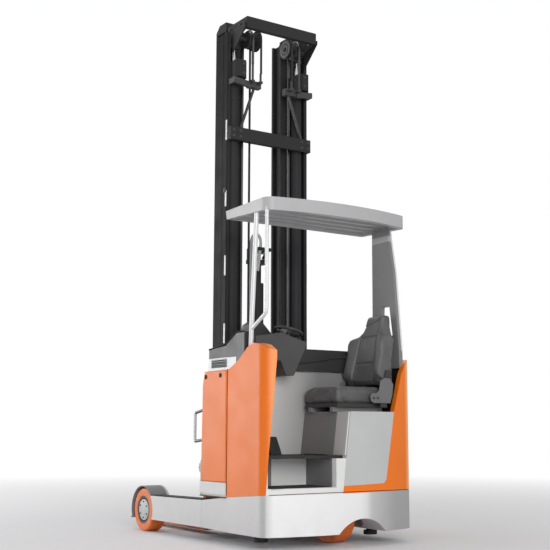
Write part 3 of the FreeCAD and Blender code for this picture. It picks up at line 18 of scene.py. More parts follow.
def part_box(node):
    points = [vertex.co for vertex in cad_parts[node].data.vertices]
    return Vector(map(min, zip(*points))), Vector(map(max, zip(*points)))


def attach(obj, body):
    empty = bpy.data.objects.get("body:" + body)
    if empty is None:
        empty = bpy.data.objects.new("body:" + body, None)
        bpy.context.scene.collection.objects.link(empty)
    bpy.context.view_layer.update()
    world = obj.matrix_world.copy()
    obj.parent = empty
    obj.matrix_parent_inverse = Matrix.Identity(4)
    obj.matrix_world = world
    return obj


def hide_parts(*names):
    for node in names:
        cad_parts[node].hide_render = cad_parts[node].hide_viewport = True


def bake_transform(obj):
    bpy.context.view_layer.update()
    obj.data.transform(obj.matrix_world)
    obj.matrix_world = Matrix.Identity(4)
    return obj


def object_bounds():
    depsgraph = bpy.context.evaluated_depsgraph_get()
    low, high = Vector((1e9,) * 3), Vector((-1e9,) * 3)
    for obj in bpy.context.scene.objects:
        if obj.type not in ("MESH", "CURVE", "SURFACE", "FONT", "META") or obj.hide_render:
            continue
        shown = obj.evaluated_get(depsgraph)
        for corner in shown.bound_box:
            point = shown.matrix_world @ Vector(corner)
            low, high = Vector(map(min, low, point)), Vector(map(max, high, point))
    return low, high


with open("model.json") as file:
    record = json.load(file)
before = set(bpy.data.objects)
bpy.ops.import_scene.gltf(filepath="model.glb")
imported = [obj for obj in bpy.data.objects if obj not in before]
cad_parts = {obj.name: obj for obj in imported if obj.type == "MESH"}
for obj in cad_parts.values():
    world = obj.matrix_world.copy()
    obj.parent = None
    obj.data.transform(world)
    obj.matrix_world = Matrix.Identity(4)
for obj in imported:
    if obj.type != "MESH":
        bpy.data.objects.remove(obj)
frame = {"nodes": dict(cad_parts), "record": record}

CAD_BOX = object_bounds()
LOG = logging.getLogger("reach_truck")

Colour = tuple[float, float, float]
Point = tuple[float, float, float]
Pair = tuple[float, float]
MM = 0.001
REAR_CORNERS = -1.09165    # place of the body's rear corners along Y
LEG_REAR = 735.0           # station where a leg leaves the frame, in millimetres
LEG_REAR_TOP = 266.0       # height of a leg's top there
LEG_FALL = 13.0 / 865.0    # fall of a leg's top towards its wheel
LEFT, RIGHT, REAR, FRONT, UP = (-1, 0, 0), (1, 0, 0), (0, -1, 0), (0, 1, 0), (0, 0, 1)
ORIGIN = (0, 0, 0)
SIDES = (("left", -1), ("right", 1))
FULL = (0.0, 1.0)          # the whole span of a share
COMMON = (0.3, 0.7)        # the span that most of a noise falls in
MIDDLE = (0.35, 0.65)      # a narrower one, for patches with clearer edges


def at(across: float, station: float, height: float) -> Point:
    """A place on the truck.

    Args:
        across: Its distance to the right of the middle, in millimetres.
        station: Its distance ahead of the rear corners.
        height: Its height over the floor.

    Returns:
        The place in metres.
    """
    return across * MM, REAR_CORNERS + station * MM, height * MM


def ahead(station: float) -> float:
    """The place along Y of a station in millimetres ahead of the rear corners."""
    return REAR_CORNERS + station * MM


def outward(sign: int) -> Point:
    """The way out on the left, for -1, or on the right."""
    return LEFT if sign < 0 else RIGHT


def mirrored(sign: int, first: float, last: float) -> list[float]:
    """Two distances from the middle as places along X on one side, the lower first."""
    return sorted((sign * first, sign * last))


def srgb(red: int, green: int, blue: int) -> Colour:
    """Turn display values into the linear colour that a shader reads.

    Args:
        red: Red from 0 to 255.
        green: Green from 0 to 255.
        blue: Blue from 0 to 255.

    Returns:
        The linear colour.
    """
    def linear(value: int) -> float:
        """One channel."""
        share = value / 255
        return share / 12.92 if share <= 0.04045 else ((share + 0.055) / 1.055) ** 2.4
    return linear(red), linear(green), linear(blue)


class Axis(Enum):
    """The truck's axes."""

    X = 0
    Y = 1
    Z = 2


class Graph:
    """A material's node tree, built one node at a time around one shader."""

    def __init__(self, name: str) -> None:
        """Start a material with a principled shader and Object coordinates.

        Args:
            name: The material's name.
        """
        self.material = bpy.data.materials.new(name)
        self.material.use_nodes = True
        self.tree = self.material.node_tree
        self.tree.nodes.clear()
        self.output = self.add("ShaderNodeOutputMaterial")
        self.shader = self.add("ShaderNodeBsdfPrincipled")
        self.link(self.shader.outputs["BSDF"], self.output.inputs["Surface"])
        self.place = self.add("ShaderNodeTexCoord").outputs["Object"]

    def add(self, kind: str, **settings: object) -> bpy.types.Node:
        """Add a node of a kind and set its properties.

        Args:
            kind: The node's type in Blender.
            settings: Its properties by name.

        Returns:
            The node.
        """
        node = self.tree.nodes.new(kind)
        for key, value in settings.items():
            setattr(node, key, value)
        return node

    def link(self, start: bpy.types.NodeSocket, end: bpy.types.NodeSocket) -> None:
        """Join two sockets."""
        self.tree.links.new(start, end)

    def stretched(self, stretch: Point) -> bpy.types.NodeSocket:
        """The object's coordinates, scaled along each axis.

        Args:
            stretch: The three scales.

        Returns:
            The scaled coordinates.
        """
        mapping = self.add("ShaderNodeMapping")
        mapping.inputs["Scale"].default_value = stretch
        self.link(self.place, mapping.inputs["Vector"])
        return mapping.outputs["Vector"]

    def noise(self, scale: float, detail: float,
              stretch: Point = (1.0, 1.0, 1.0)) -> bpy.types.NodeSocket:
        """Soft noise over the surface.

        Args:
            scale: Its features are about 1 / scale metres wide.
            detail: How many finer layers it has.
            stretch: The scale of the coordinates along each axis.

        Returns:
            The noise, from 0 to 1.
        """
        texture = self.add("ShaderNodeTexNoise")
        texture.inputs["Scale"].default_value = scale
        texture.inputs["Detail"].default_value = detail
        self.link(self.stretched(stretch), texture.inputs["Vector"])
        return texture.outputs["Fac"]

    def drift(self, scale: float, detail: float, span: Pair = FULL) -> bpy.types.NodeSocket:
        """Soft noise whose common values cover a span."""
        return self.remap(self.noise(scale, detail), COMMON, span)

    def cells(self, scale: float) -> bpy.types.NodeSocket:
        """Distance to the nearest cell centre, for a pebbled grain.

        Args:
            scale: How many cells there are in a metre.

        Returns:
            The distance.
        """
        texture = self.add("ShaderNodeTexVoronoi")
        texture.inputs["Scale"].default_value = scale
        self.link(self.place, texture.inputs["Vector"])
        return texture.outputs["Distance"]

    def remap(self, source: bpy.types.NodeSocket, start: Pair, end: Pair) -> bpy.types.NodeSocket:
        """Move a value from one span onto another, clamped.

        Args:
            source: The value.
            start: The span that it comes from.
            end: The span that it goes to.

        Returns:
            The moved value.
        """
        node = self.add("ShaderNodeMapRange")
        for name, value in zip(("From Min", "From Max", "To Min", "To Max"), (*start, *end)):
            node.inputs[name].default_value = value
        self.link(source, node.inputs["Value"])
        return node.outputs["Result"]

    def along(self, axis: Axis) -> bpy.types.NodeSocket:
        """The place along an axis.

        Args:
            axis: The axis.

        Returns:
            The place in metres.
        """
        split = self.add("ShaderNodeSeparateXYZ")
        self.link(self.place, split.inputs["Vector"])
        return split.outputs[axis.name]

    def product(self, left: bpy.types.NodeSocket,
                right: bpy.types.NodeSocket) -> bpy.types.NodeSocket:
        """Multiply two values.

        Args:
            left: The first value.
            right: The second one.

        Returns:
            Their product.
        """
        node = self.add("ShaderNodeMath", operation="MULTIPLY")
        self.link(left, node.inputs[0])
        self.link(right, node.inputs[1])
        return node.outputs["Value"]

    def blend(self, share: bpy.types.NodeSocket, low: object, high: object) -> bpy.types.NodeSocket:
        """Mix two colours.

        Args:
            share: The share of the second colour, from 0 to 1.
            low: The first colour, or a socket that gives it.
            high: The second one.

        Returns:
            The mixed colour.
        """
        node = self.add("ShaderNodeMix", data_type="RGBA")
        self.link(share, node.inputs["Factor"])
        for name, value in (("A", low), ("B", high)):
            sockets = [one for one in node.inputs if one.name == name and one.type == "RGBA"]
            if isinstance(value, bpy.types.NodeSocket):
                self.link(value, sockets[0])
            else:
                sockets[0].default_value = (*value, 1.0)
        return [one for one in node.outputs if one.type == "RGBA"][0]

    def relief(self, height: bpy.types.NodeSocket, strength: float, depth: float) -> None:
        """Let a value raise the surface.

        Args:
            height: The value.
            strength: How strongly the light follows it.
            depth: The height of a full value in metres.
        """
        bump = self.add("ShaderNodeBump")
        bump.inputs["Strength"].default_value = strength
        bump.inputs["Distance"].default_value = depth
        self.link(height, bump.inputs["Height"])
        self.link(bump.outputs["Normal"], self.shader.inputs["Normal"])

    def colour(self, source: bpy.types.NodeSocket) -> None:
        """Give the shader its colour."""
        self.link(source, self.shader.inputs["Base Color"])

    def roughness(self, source: bpy.types.NodeSocket) -> None:
        """Give the shader its roughness."""
        self.link(source, self.shader.inputs["Roughness"])

    def settle(self, **values: float) -> None:
        """Set plain numbers on the shader's own sockets, named with underscores for spaces."""
        for name, value in values.items():
            self.shader.inputs[name.replace("_", " ")].default_value = value


@dataclass(frozen=True)
class Band:
    """A zone of another colour, between two places along one axis."""

    axis: Axis
    low: float
    high: float
    colour: Colour
    edge: float = 0.002


def banded(graph: Graph, base: bpy.types.NodeSocket, bands: Sequence[Band]) -> bpy.types.NodeSocket:
    """Lay bands of other colours over a base colour.

    Args:
        graph: The material's graph.
        base: The colour under the bands.
        bands: The bands, the last on top.

    Returns:
        The colour with its bands.
    """
    for band in bands:
        place = graph.along(band.axis)
        rise = graph.remap(place, (band.low - band.edge, band.low + band.edge), FULL)
        fall = graph.remap(place, (band.high - band.edge, band.high + band.edge), (1.0, 0.0))
        base = graph.blend(graph.product(rise, fall), base, band.colour)
    return base


def shaded(colour: Colour, factor: float) -> Colour:
    """The colour made lighter or darker by a factor."""
    return tuple(min(1.0, channel * factor) for channel in colour)


def drifted(graph: Graph, colour: Colour, grain: Pair, tones: Pair) -> bpy.types.NodeSocket:
    """Let a colour drift between a darker and a lighter tone.

    Args:
        graph: The material's graph.
        colour: The colour.
        grain: The scale and the detail of the drift.
        tones: The factors of its darkest and its lightest tone.

    Returns:
        The drifting colour.
    """
    share = graph.drift(*grain)
    return graph.blend(share, shaded(colour, tones[0]), shaded(colour, tones[1]))


@dataclass(frozen=True)
class Paint:
    """Sprayed enamel: slight drifts of tone, orange peel, and patchy darkening towards the bottom.
    """

    name: str
    colour: Colour
    gloss: Pair = (0.34, 0.44)
    coat: float = 0.0
    low_darkening: float = 0.12
    shine: float = 0.3
    bands: tuple[Band, ...] = ()
    tones: Pair = (0.96, 1.04)
    low_darkening_heights: Pair = (0.02, 0.34)
    low_darkening_colour: Colour = srgb(118, 110, 100)
    peel_scale: float = 420.0
    peel_depth: float = 0.00012

    def build(self) -> bpy.types.Material:
        """Make the material.

        Returns:
            The finished material.
        """
        graph = Graph(self.name)
        base = banded(graph, drifted(graph, self.colour, (2.4, 3.0), self.tones), self.bands)
        # Patchy darkening towards the bottom, strongest at the floor.
        low = graph.remap(graph.along(Axis.Z), self.low_darkening_heights, (self.low_darkening, 0.0))
        low_darkening_mask = graph.product(low, graph.remap(graph.noise(14.0, 5.0), MIDDLE, (0.2, 1.0)))
        graph.colour(graph.blend(low_darkening_mask, base, self.low_darkening_colour))
        graph.roughness(graph.drift(7.0, 4.0, self.gloss))
        graph.relief(graph.noise(self.peel_scale, 1.0), 0.35, self.peel_depth)
        graph.settle(Coat_Weight=self.coat, Coat_Roughness=0.12, Specular_IOR_Level=self.shine)
        return graph.material


@dataclass(frozen=True)
class Moulding:
    """Moulded plastic or rubber with a fine pebbled grain."""

    name: str
    colour: Colour
    gloss: Pair = (0.45, 0.60)
    grain_scale: float = 520.0
    grain_depth: float = 0.00030
    metallic: float = 0.0
    bands: tuple[Band, ...] = ()
    tones: Pair = (0.9, 1.12)

    def build(self) -> bpy.types.Material:
        """Make the material.

        Returns:
            The finished material.
        """
        graph = Graph(self.name)
        base = drifted(graph, self.colour, (5.0, 4.0), self.tones)
        graph.colour(banded(graph, base, self.bands))
        graph.roughness(graph.drift(11.0, 3.0, self.gloss))
        graph.relief(graph.cells(self.grain_scale), 0.5, self.grain_depth)
        graph.settle(Metallic=self.metallic)
        return graph.material


@dataclass(frozen=True)
class Steel:
    """Bare metal with fine lines along one axis and faint oily patches."""

    name: str
    colour: Colour
    gloss: Pair = (0.22, 0.38)
    along: Axis = Axis.Z
    line_stretch: float = 0.02
    line_depth: float = 0.00005
    oiled: float = 0.82

    def build(self) -> bpy.types.Material:
        """Make the material.

        Returns:
            The finished material.
        """
        graph = Graph(self.name)
        stretch = tuple(self.line_stretch if axis is self.along else 1.0 for axis in Axis)
        lines = graph.noise(900.0, 3.0, stretch)
        patches = graph.remap(graph.noise(9.0, 4.0), MIDDLE, FULL)
        graph.colour(graph.blend(patches, shaded(self.colour, self.oiled), self.colour))
        graph.roughness(graph.remap(lines, COMMON, self.gloss))
        graph.relief(lines, 0.4, self.line_depth)
        graph.settle(Metallic=1.0)
        return graph.material


@dataclass(frozen=True)
class Vinyl:
    """Grained seat vinyl whose grain varies in depth."""

    name: str
    colour: Colour
    sheen: float = 0.12
    gloss: Pair = (0.42, 0.58)
    tones: Pair = (0.88, 1.12)
    grain_scale: float = 640.0
    grain_depth: float = 0.0004

    def build(self) -> bpy.types.Material:
        """Make the material.

        Returns:
            The finished material.
        """
        graph = Graph(self.name)
        graph.colour(drifted(graph, self.colour, (8.0, 4.0), self.tones))
        graph.roughness(graph.drift(30.0, 3.0, self.gloss))
        grain = graph.product(graph.cells(self.grain_scale), graph.drift(60.0, 4.0, (0.6, 1.0)))
        graph.relief(grain, 0.55, self.grain_depth)
        graph.settle(Sheen_Weight=self.sheen, Sheen_Roughness=0.4)
        return graph.material


@dataclass(frozen=True)
class Tread:
    """Cast polyurethane: waxy, scuffed in patches."""

    name: str
    colour: Colour
    gloss: Pair = (0.38, 0.55)
    scuffed: float = 0.55
    scuff_share: float = 0.45

    def build(self) -> bpy.types.Material:
        """Make the material.

        Returns:
            The finished material.
        """
        graph = Graph(self.name)
        scuff = graph.remap(graph.noise(38.0, 6.0), (0.45, 0.72), (0.0, self.scuff_share))
        graph.colour(graph.blend(scuff, self.colour, shaded(self.colour, self.scuffed)))
        graph.roughness(graph.drift(22.0, 4.0, self.gloss))
        graph.relief(graph.noise(160.0, 5.0), 0.4, 0.0004)
        graph.settle(Subsurface_Weight=0.04)
        return graph.material


ORANGE = Paint("orange_enamel", srgb(227, 112, 22), shine=0.34)
# The band is a painted highlight on the rear panel's right corner.
PANEL = Paint("rear_panel_enamel", srgb(240, 120, 22), shine=0.34,
              bands=(Band(Axis.X, 0.528, 0.90, srgb(255, 176, 112), 0.014),))
# The band is a painted highlight across the column, right of its left corner.
COLUMN = Paint("column_enamel", srgb(227, 112, 22), shine=0.34,
               bands=(Band(Axis.X, -0.534, -0.30, srgb(250, 152, 86), 0.010),))
# Painted light on the skirt: the slightly darker strip at its left corner and its darker right part
# are painted shade, and its bright middle is a painted highlight.
SKIRT = Paint("skirt_enamel", srgb(206, 206, 206), gloss=(0.30, 0.40), low_darkening=0.1,
              bands=(Band(Axis.X, -0.5765, -0.556, srgb(182, 182, 182), 0.005),
                     Band(Axis.X, -0.538, 0.16, srgb(240, 240, 240), 0.024),
                     Band(Axis.X, 0.24, 0.90, srgb(166, 166, 167), 0.16)))
SILVER = Paint("silver_enamel", srgb(206, 206, 206), gloss=(0.30, 0.40), low_darkening=0.1)
GUARD_SILVER = Paint("guard_silver_enamel", srgb(178, 178, 179), gloss=(0.30, 0.40), low_darkening=0.0)
PALE = Paint("pale_grey_panel", srgb(192, 193, 193), gloss=(0.32, 0.44))
WHITE = Paint("white_step", srgb(226, 226, 225), gloss=(0.34, 0.46))
# The soft darker band over the bulkhead's right part is painted shade.
BULKHEAD = Paint("bulkhead_enamel", srgb(216, 216, 215), gloss=(0.34, 0.46),
                 bands=(Band(Axis.X, -0.10, 1.0, srgb(136, 136, 136), 0.22),))
# A darker grey: painted shade on the seat box's side and inside the step opening, and the plain
# grey of the seat rails and the pulley rims.
SHADE = Paint("mid_grey_and_painted_shade", srgb(122, 122, 123), gloss=(0.36, 0.48), shine=0.2)
# A lighter grey: painted half shade on the seat box's corner.
HALF_SHADE = Paint("painted_half_shade_grey", srgb(184, 184, 185), gloss=(0.36, 0.48), shine=0.25)
PILLAR = Paint("pillar_enamel", srgb(132, 132, 133), low_darkening=0.0, shine=0.25,
               bands=(Band(Axis.Z, 1.992, 2.033, srgb(176, 176, 176)),))
FENDER = Paint("fender_enamel", srgb(126, 126, 127), gloss=(0.38, 0.5))
HANDLE = Paint("handle_enamel", srgb(206, 208, 208), gloss=(0.2, 0.3), coat=0.3, shine=0.5,
               bands=(Band(Axis.Y, -0.40, -0.246, srgb(34, 34, 35)),))
VENT = Paint("vent_enamel", srgb(226, 226, 226), gloss=(0.3, 0.4))
BLADE = Paint("vent_blade_enamel", srgb(124, 127, 128), gloss=(0.36, 0.5), shine=0.2)
CREAM = Paint("latch_enamel", srgb(214, 196, 168))
# A bright grey: painted highlights along the seat box's edge and the pillar's edge, and the light
# strips on the outer rails.
BRIGHT = Paint("bright_grey", srgb(224, 224, 224), gloss=(0.24, 0.34), low_darkening=0.0)
# Near black: the colour of the cowl's lips, the screw rings and the strips on the legs' tops, and
# painted shade in the outer rails' channels.
BLACK_AND_SHADE = Paint("black_and_painted_shade", srgb(18, 18, 19), gloss=(0.5, 0.6), low_darkening=0.0, shine=0.1)
MAST = Paint("mast_enamel", srgb(54, 54, 55), gloss=(0.44, 0.56), low_darkening=0.03, shine=0.08)
# The darker band on the left rail's outer side is painted shade.
OUTER = Paint("outer_rail_enamel", srgb(52, 52, 53), gloss=(0.44, 0.56), low_darkening=0.0, shine=0.06,
              bands=(Band(Axis.X, -0.40, -0.3415, srgb(20, 20, 21)),))
STEEL_GREY = Paint("bracket_enamel", srgb(70, 70, 71), gloss=(0.40, 0.52), low_darkening=0.05, shine=0.25)
BLACK = Paint("black_enamel", srgb(36, 36, 37), gloss=(0.36, 0.5), coat=0.1, shine=0.5)
TUBE = Paint("bright_tube_enamel", srgb(216, 217, 217), gloss=(0.16, 0.24), coat=0.6, shine=0.5)
PLASTIC = Moulding("dark_moulding", srgb(40, 40, 41))
# The lighter band on the hood's left face is painted light.
HOOD = Moulding("hood_moulding", srgb(40, 40, 41),
                bands=(Band(Axis.X, -0.60, -0.5735, srgb(86, 86, 87)),))
RECLINER = Moulding("recliner_moulding", srgb(104, 105, 104))
KNOB = Moulding("knob_moulding", srgb(96, 96, 97), gloss=(0.3, 0.4))
CHAIN = Steel("chain_steel", srgb(96, 96, 98), gloss=(0.34, 0.5))
PIPE = Paint("hose_grey", srgb(176, 176, 178), gloss=(0.34, 0.46), low_darkening=0.0, shine=0.5)
CONSOLE = Moulding("console_moulding", srgb(66, 66, 67))
RUBBER = Moulding("black_rubber", srgb(28, 28, 28), gloss=(0.6, 0.8), grain_scale=260.0)
BATTERY = Moulding("battery_case", srgb(60, 60, 62))
SEAT = Vinyl("seat_vinyl", srgb(86, 86, 87))
BARE = Steel("bare_steel", srgb(168, 168, 168))
CHROME = Steel("rod_chrome", srgb(206, 206, 208), gloss=(0.08, 0.14))
IRON = Moulding("cast_iron", srgb(64, 64, 65), gloss=(0.4, 0.55), grain_scale=300.0, metallic=0.4)
CAP = Paint("hub_cap_enamel", srgb(196, 199, 198), gloss=(0.4, 0.5), shine=0.2)
WHEEL = Tread("orange_tread", srgb(224, 112, 38))
FORK = Paint("fork_enamel", srgb(196, 96, 36), gloss=(0.38, 0.5), coat=0.1, low_darkening=0.3, shine=0.5)

NODE_FINISH = {
    "chassis_frame": SKIRT, "support_leg_left": SILVER, "support_leg_right": SILVER,
    "wheel_fenders": FENDER, "stabiliser_pads": RUBBER, "rear_panel_right": PANEL,
    "seat_box": PALE, "side_column_left": COLUMN, "entry_step": WHITE, "floor_plate": RUBBER,
    "front_bulkhead": BULKHEAD, "battery_tray": SILVER, "battery_block": BATTERY,
    "battery_side_covers": ORANGE, "vent_band": VENT, "hood": HOOD, "dash_panel": PLASTIC,
    "steering_console": CONSOLE, "overhead_guard": GUARD_SILVER, "guard_post_left": TUBE,
    "rear_pillar_right": PILLAR, "bay_handle": HANDLE, "seat_rails": SHADE, "drive_unit": IRON,
    "drive_wheel_tyre": WHEEL, "drive_wheel_hub": IRON, "load_wheel_left_tyre": WHEEL,
    "load_wheel_left_hub": IRON, "load_wheel_right_tyre": WHEEL, "load_wheel_right_hub": IRON,
    "steering_wheel": PLASTIC, "seat_pan": BLACK, "seat_cushion": SEAT, "seat_backrest": SEAT,
    "seat_recliner": BLACK, "outer_mast_rails": OUTER, "lower_crossbeam": MAST,
    "lift_cylinder_barrels": MAST, "reach_carriage": MAST, "cylinder_clamps": MAST,
    "mast_head_brackets": STEEL_GREY, "hose_pulleys": PLASTIC, "chain_sheaves": IRON,
    "chain_feet": MAST, "middle_mast_rails": MAST, "top_beam": MAST, "lift_cylinder_rods": CHROME,
    "inner_mast_rails": MAST, "inner_crossbars": MAST, "free_lift_barrel": MAST,
    "free_lift_head": MAST, "head_sheaves": BARE, "lift_carriage": MAST, "tilt_frame": MAST,
    "side_shift_frame": MAST, "fork_left": FORK, "fork_right": FORK,
}

# Nodes shown with their edges rounded. Columns: node, radius of its edges.
ROUNDED_NODES = {
    "chassis_frame": 0.006, "support_leg_left": 0.006, "support_leg_right": 0.006,
    "rear_panel_right": 0.004, "seat_box": 0.006, "side_column_left": 0.010, "entry_step": 0.004,
    "battery_side_covers": 0.007, "battery_tray": 0.002, "vent_band": 0.008, "hood": 0.014,
    "dash_panel": 0.003, "steering_console": 0.012, "overhead_guard": 0.006,
    "rear_pillar_right": 0.005, "top_beam": 0.004, "lower_crossbeam": 0.003,
    "reach_carriage": 0.003, "lift_carriage": 0.002, "fork_left": 0.004, "fork_right": 0.004,
    "side_shift_frame": 0.002, "tilt_frame": 0.002, "front_bulkhead": 0.003,
}


class Bench:
    """Modelling steps that the sub-assemblies share."""

    materials: dict[str, bpy.types.Material] = {}

    @classmethod
    def finish(cls, finish: object) -> bpy.types.Material:
        """The material of a finish, made once.

        Args:
            finish: The finish.

        Returns:
            Its material.
        """
        if finish.name not in cls.materials:
            cls.materials[finish.name] = finish.build()
        return cls.materials[finish.name]

    @staticmethod
    def only(piece: bpy.types.Object) -> None:
        """Select one piece and nothing else.

        Args:
            piece: The piece.
        """
        bpy.ops.object.select_all(action="DESELECT")
        piece.select_set(True)
        bpy.context.view_layer.objects.active = piece

    @classmethod
    def settled(cls, piece: bpy.types.Object, name: str) -> bpy.types.Object:
        """Put a piece's place, turn and size into its mesh, and name it.

        Args:
            piece: The piece.
            name: Its name.

        Returns:
            The same piece.
        """
        cls.only(piece)
        bpy.ops.object.transform_apply(location=True, rotation=True, scale=True)
        piece.name = name
        piece.data.name = name
        return piece

    @classmethod
    def modify(cls, piece: bpy.types.Object, kind: str, **settings: object) -> None:
        """Add a modifier, set it and apply it.

        Args:
            piece: The piece.
            kind: The modifier's type in Blender.
            settings: Its properties by name.
        """
        cls.only(piece)
        modifier = piece.modifiers.new(kind.lower(), kind)
        for key, value in settings.items():
            setattr(modifier, key, value)
        bpy.ops.object.modifier_apply(modifier=modifier.name)

    @classmethod
    def edges(cls, piece: bpy.types.Object, radius: float, segments: int = 3,
              angle: float = 30.0) -> None:
        """Round a piece's sharp edges and keep its flats flat.

        Args:
            piece: The piece.
            radius: The radius in metres.
            segments: The steps in each rounded edge.
            angle: The angle in degrees past which an edge is sharp.
        """
        cls.only(piece)
        bpy.ops.object.shade_smooth_by_angle(angle=math.radians(angle))
        cls.modify(piece, "BEVEL", width=radius, segments=segments, limit_method="ANGLE",
                   angle_limit=math.radians(angle), miter_outer="MITER_ARC", use_clamp_overlap=True)
        cls.only(piece)
        bpy.ops.object.shade_smooth_by_angle(angle=math.radians(angle + 15))
        cls.modify(piece, "WEIGHTED_NORMAL", mode="FACE_AREA", keep_sharp=True)

    @classmethod
    def block(cls, name: str, low: Point, high: Point, radius: float = 0.0,
              segments: int = 2) -> bpy.types.Object:
        """A box between two corners, with its edges rounded.

        Args:
            name: Its name.
            low: The corner with the lowest coordinates, in millimetres, with the station for Y.
            high: The corner with the highest.
            radius: The radius of its edges in metres.
            segments: The steps in each rounded edge.

        Returns:
            The piece.
        """
        first, last = Vector(at(*low)), Vector(at(*high))
        bpy.ops.object.select_all(action="DESELECT")
        bpy.ops.mesh.primitive_cube_add(size=1.0, location=(first + last) / 2)
        piece = bpy.context.active_object
        piece.scale = last - first
        cls.settled(piece, name)
        if radius:
            cls.edges(piece, radius, segments)
        return piece

    @classmethod
    def drawn(cls, name: str, axis: Axis, outline: Sequence[Pair], low: float, high: float,
              radius: float = 0.0) -> bpy.types.Object:
        """A flat outline drawn out along an axis.

        Args:
            name: Its name.
            axis: The axis that it is drawn along.
            outline: Its corners in millimetres on the two other axes, in their order.
            low: Where it starts along the axis, in millimetres.
            high: Where it ends.
            radius: The radius of its edges in metres.

        Returns:
            The piece.
        """
        def placed(corner: Pair, along: float) -> Point:
            """A corner of the outline at a place along the axis.

            Args:
                corner: The corner.
                along: The place in millimetres.

            Returns:
                The corner's place in metres.
            """
            values = list(corner)
            values.insert(axis.value, along)
            return at(*values)
        bpy.ops.object.select_all(action="DESELECT")
        bpy.ops.mesh.primitive_circle_add(vertices=len(outline), radius=1.0, fill_type="NGON",
                                          location=ORIGIN)
        piece = bpy.context.active_object
        for vertex, corner in zip(piece.data.vertices, outline):
            vertex.co = placed(corner, low)
        step = Vector(placed(outline[0], high)) - Vector(placed(outline[0], low))
        bpy.ops.object.mode_set(mode="EDIT")
        bpy.ops.mesh.select_all(action="SELECT")
        bpy.ops.mesh.extrude_region_move(TRANSFORM_OT_translate={"value": step})
        bpy.ops.mesh.select_all(action="SELECT")
        bpy.ops.mesh.normals_make_consistent(inside=False)
        bpy.ops.object.mode_set(mode="OBJECT")
        cls.settled(piece, name)
        if radius:
            cls.edges(piece, radius, 2)
        return piece

    @classmethod
    def turned(cls, name: str, foot: Point, way: Point, steps: Sequence[Pair], sides: int = 28,
               angle: float = 40.0) -> bpy.types.Object:
        """A round piece, drawn out ring by ring.

        Args:
            name: Its name.
            foot: Where it starts, in metres.
            way: The direction that it grows in.
            steps: Its height and radius at each ring, in millimetres.
            sides: How many sides it has.
            angle: The angle past which an edge stays sharp.

        Returns:
            The piece.
        """
        height, radius = steps[0]
        bpy.ops.object.select_all(action="DESELECT")
        bpy.ops.mesh.primitive_circle_add(vertices=sides, radius=radius * MM, fill_type="NGON",
                                          location=ORIGIN)
        piece = bpy.context.active_object
        for vertex in piece.data.vertices:
            vertex.co.z = height * MM
        bpy.ops.object.mode_set(mode="EDIT")
        bpy.ops.mesh.select_all(action="SELECT")
        for level, width in steps[1:]:
            rise = (0, 0, (level - height) * MM)
            bpy.ops.mesh.extrude_region_move(TRANSFORM_OT_translate={"value": rise})
            share = width / radius
            bpy.ops.transform.resize(value=(share, share, 1.0), center_override=(0, 0, level * MM))
            height, radius = level, width
        bpy.ops.mesh.select_all(action="SELECT")
        bpy.ops.mesh.normals_make_consistent(inside=False)
        bpy.ops.object.mode_set(mode="OBJECT")
        turn = Vector(way).to_track_quat("Z", "Y")
        piece.rotation_mode = "QUATERNION"
        piece.rotation_quaternion = turn
        piece.location = foot
        cls.settled(piece, name)
        cls.only(piece)
        bpy.ops.object.shade_smooth_by_angle(angle=math.radians(angle))
        return piece

    @classmethod
    def joined(cls, name: str, *pieces: bpy.types.Object) -> bpy.types.Object:
        """Make several meshes one.

        Args:
            name: The name of the whole.
            pieces: The meshes.

        Returns:
            The whole.
        """
        bpy.ops.object.select_all(action="DESELECT")
        for piece in pieces:
            piece.select_set(True)
        bpy.context.view_layer.objects.active = pieces[0]
        if len(pieces) > 1:
            bpy.ops.object.join()
        pieces[0].name = name
        pieces[0].data.name = name
        return pieces[0]

    @classmethod
    def repeated(cls, name: str, model: bpy.types.Object,
                 places: Sequence[tuple[Point, Point]]) -> bpy.types.Object:
        """Repeat a model that stands at the origin, as one mesh.

        Args:
            name: The name of the whole.
            model: The model, which is used up.
            places: The place and the direction of each copy.

        Returns:
            The whole.
        """
        copies = []
        for place, way in places:
            mesh = model.data.copy()
            turn = Vector(way).to_track_quat("Z", "Y").to_matrix().to_4x4()
            mesh.transform(Matrix.Translation(place) @ turn)
            copy = bpy.data.objects.new(name, mesh)
            bpy.context.scene.collection.objects.link(copy)
            copies.append(copy)
        bpy.data.objects.remove(model)
        return cls.joined(name, *copies)

    @classmethod
    def bolts(cls, name: str, radius: float,
              places: Sequence[tuple[Point, Point]]) -> bpy.types.Object:
        """Hexagon bolts on washers.

        Args:
            name: The name of the whole.
            radius: The radius of a head in millimetres.
            places: The seat of each bolt and the way that it points.

        Returns:
            The bolts as one mesh.
        """
        rings = [(-1, radius * 1.3), (radius * 0.22, radius * 1.3), (radius * 0.3, radius * 1.2)]
        washer = cls.turned("washer", ORIGIN, UP, rings, 20)
        rings = [(radius * 0.2, radius), (radius * 0.8, radius), (radius * 0.95, radius * 0.84)]
        head = cls.turned("head", ORIGIN, UP, rings, 6, 20.0)
        return cls.repeated(name, cls.joined("bolt", washer, head), places)

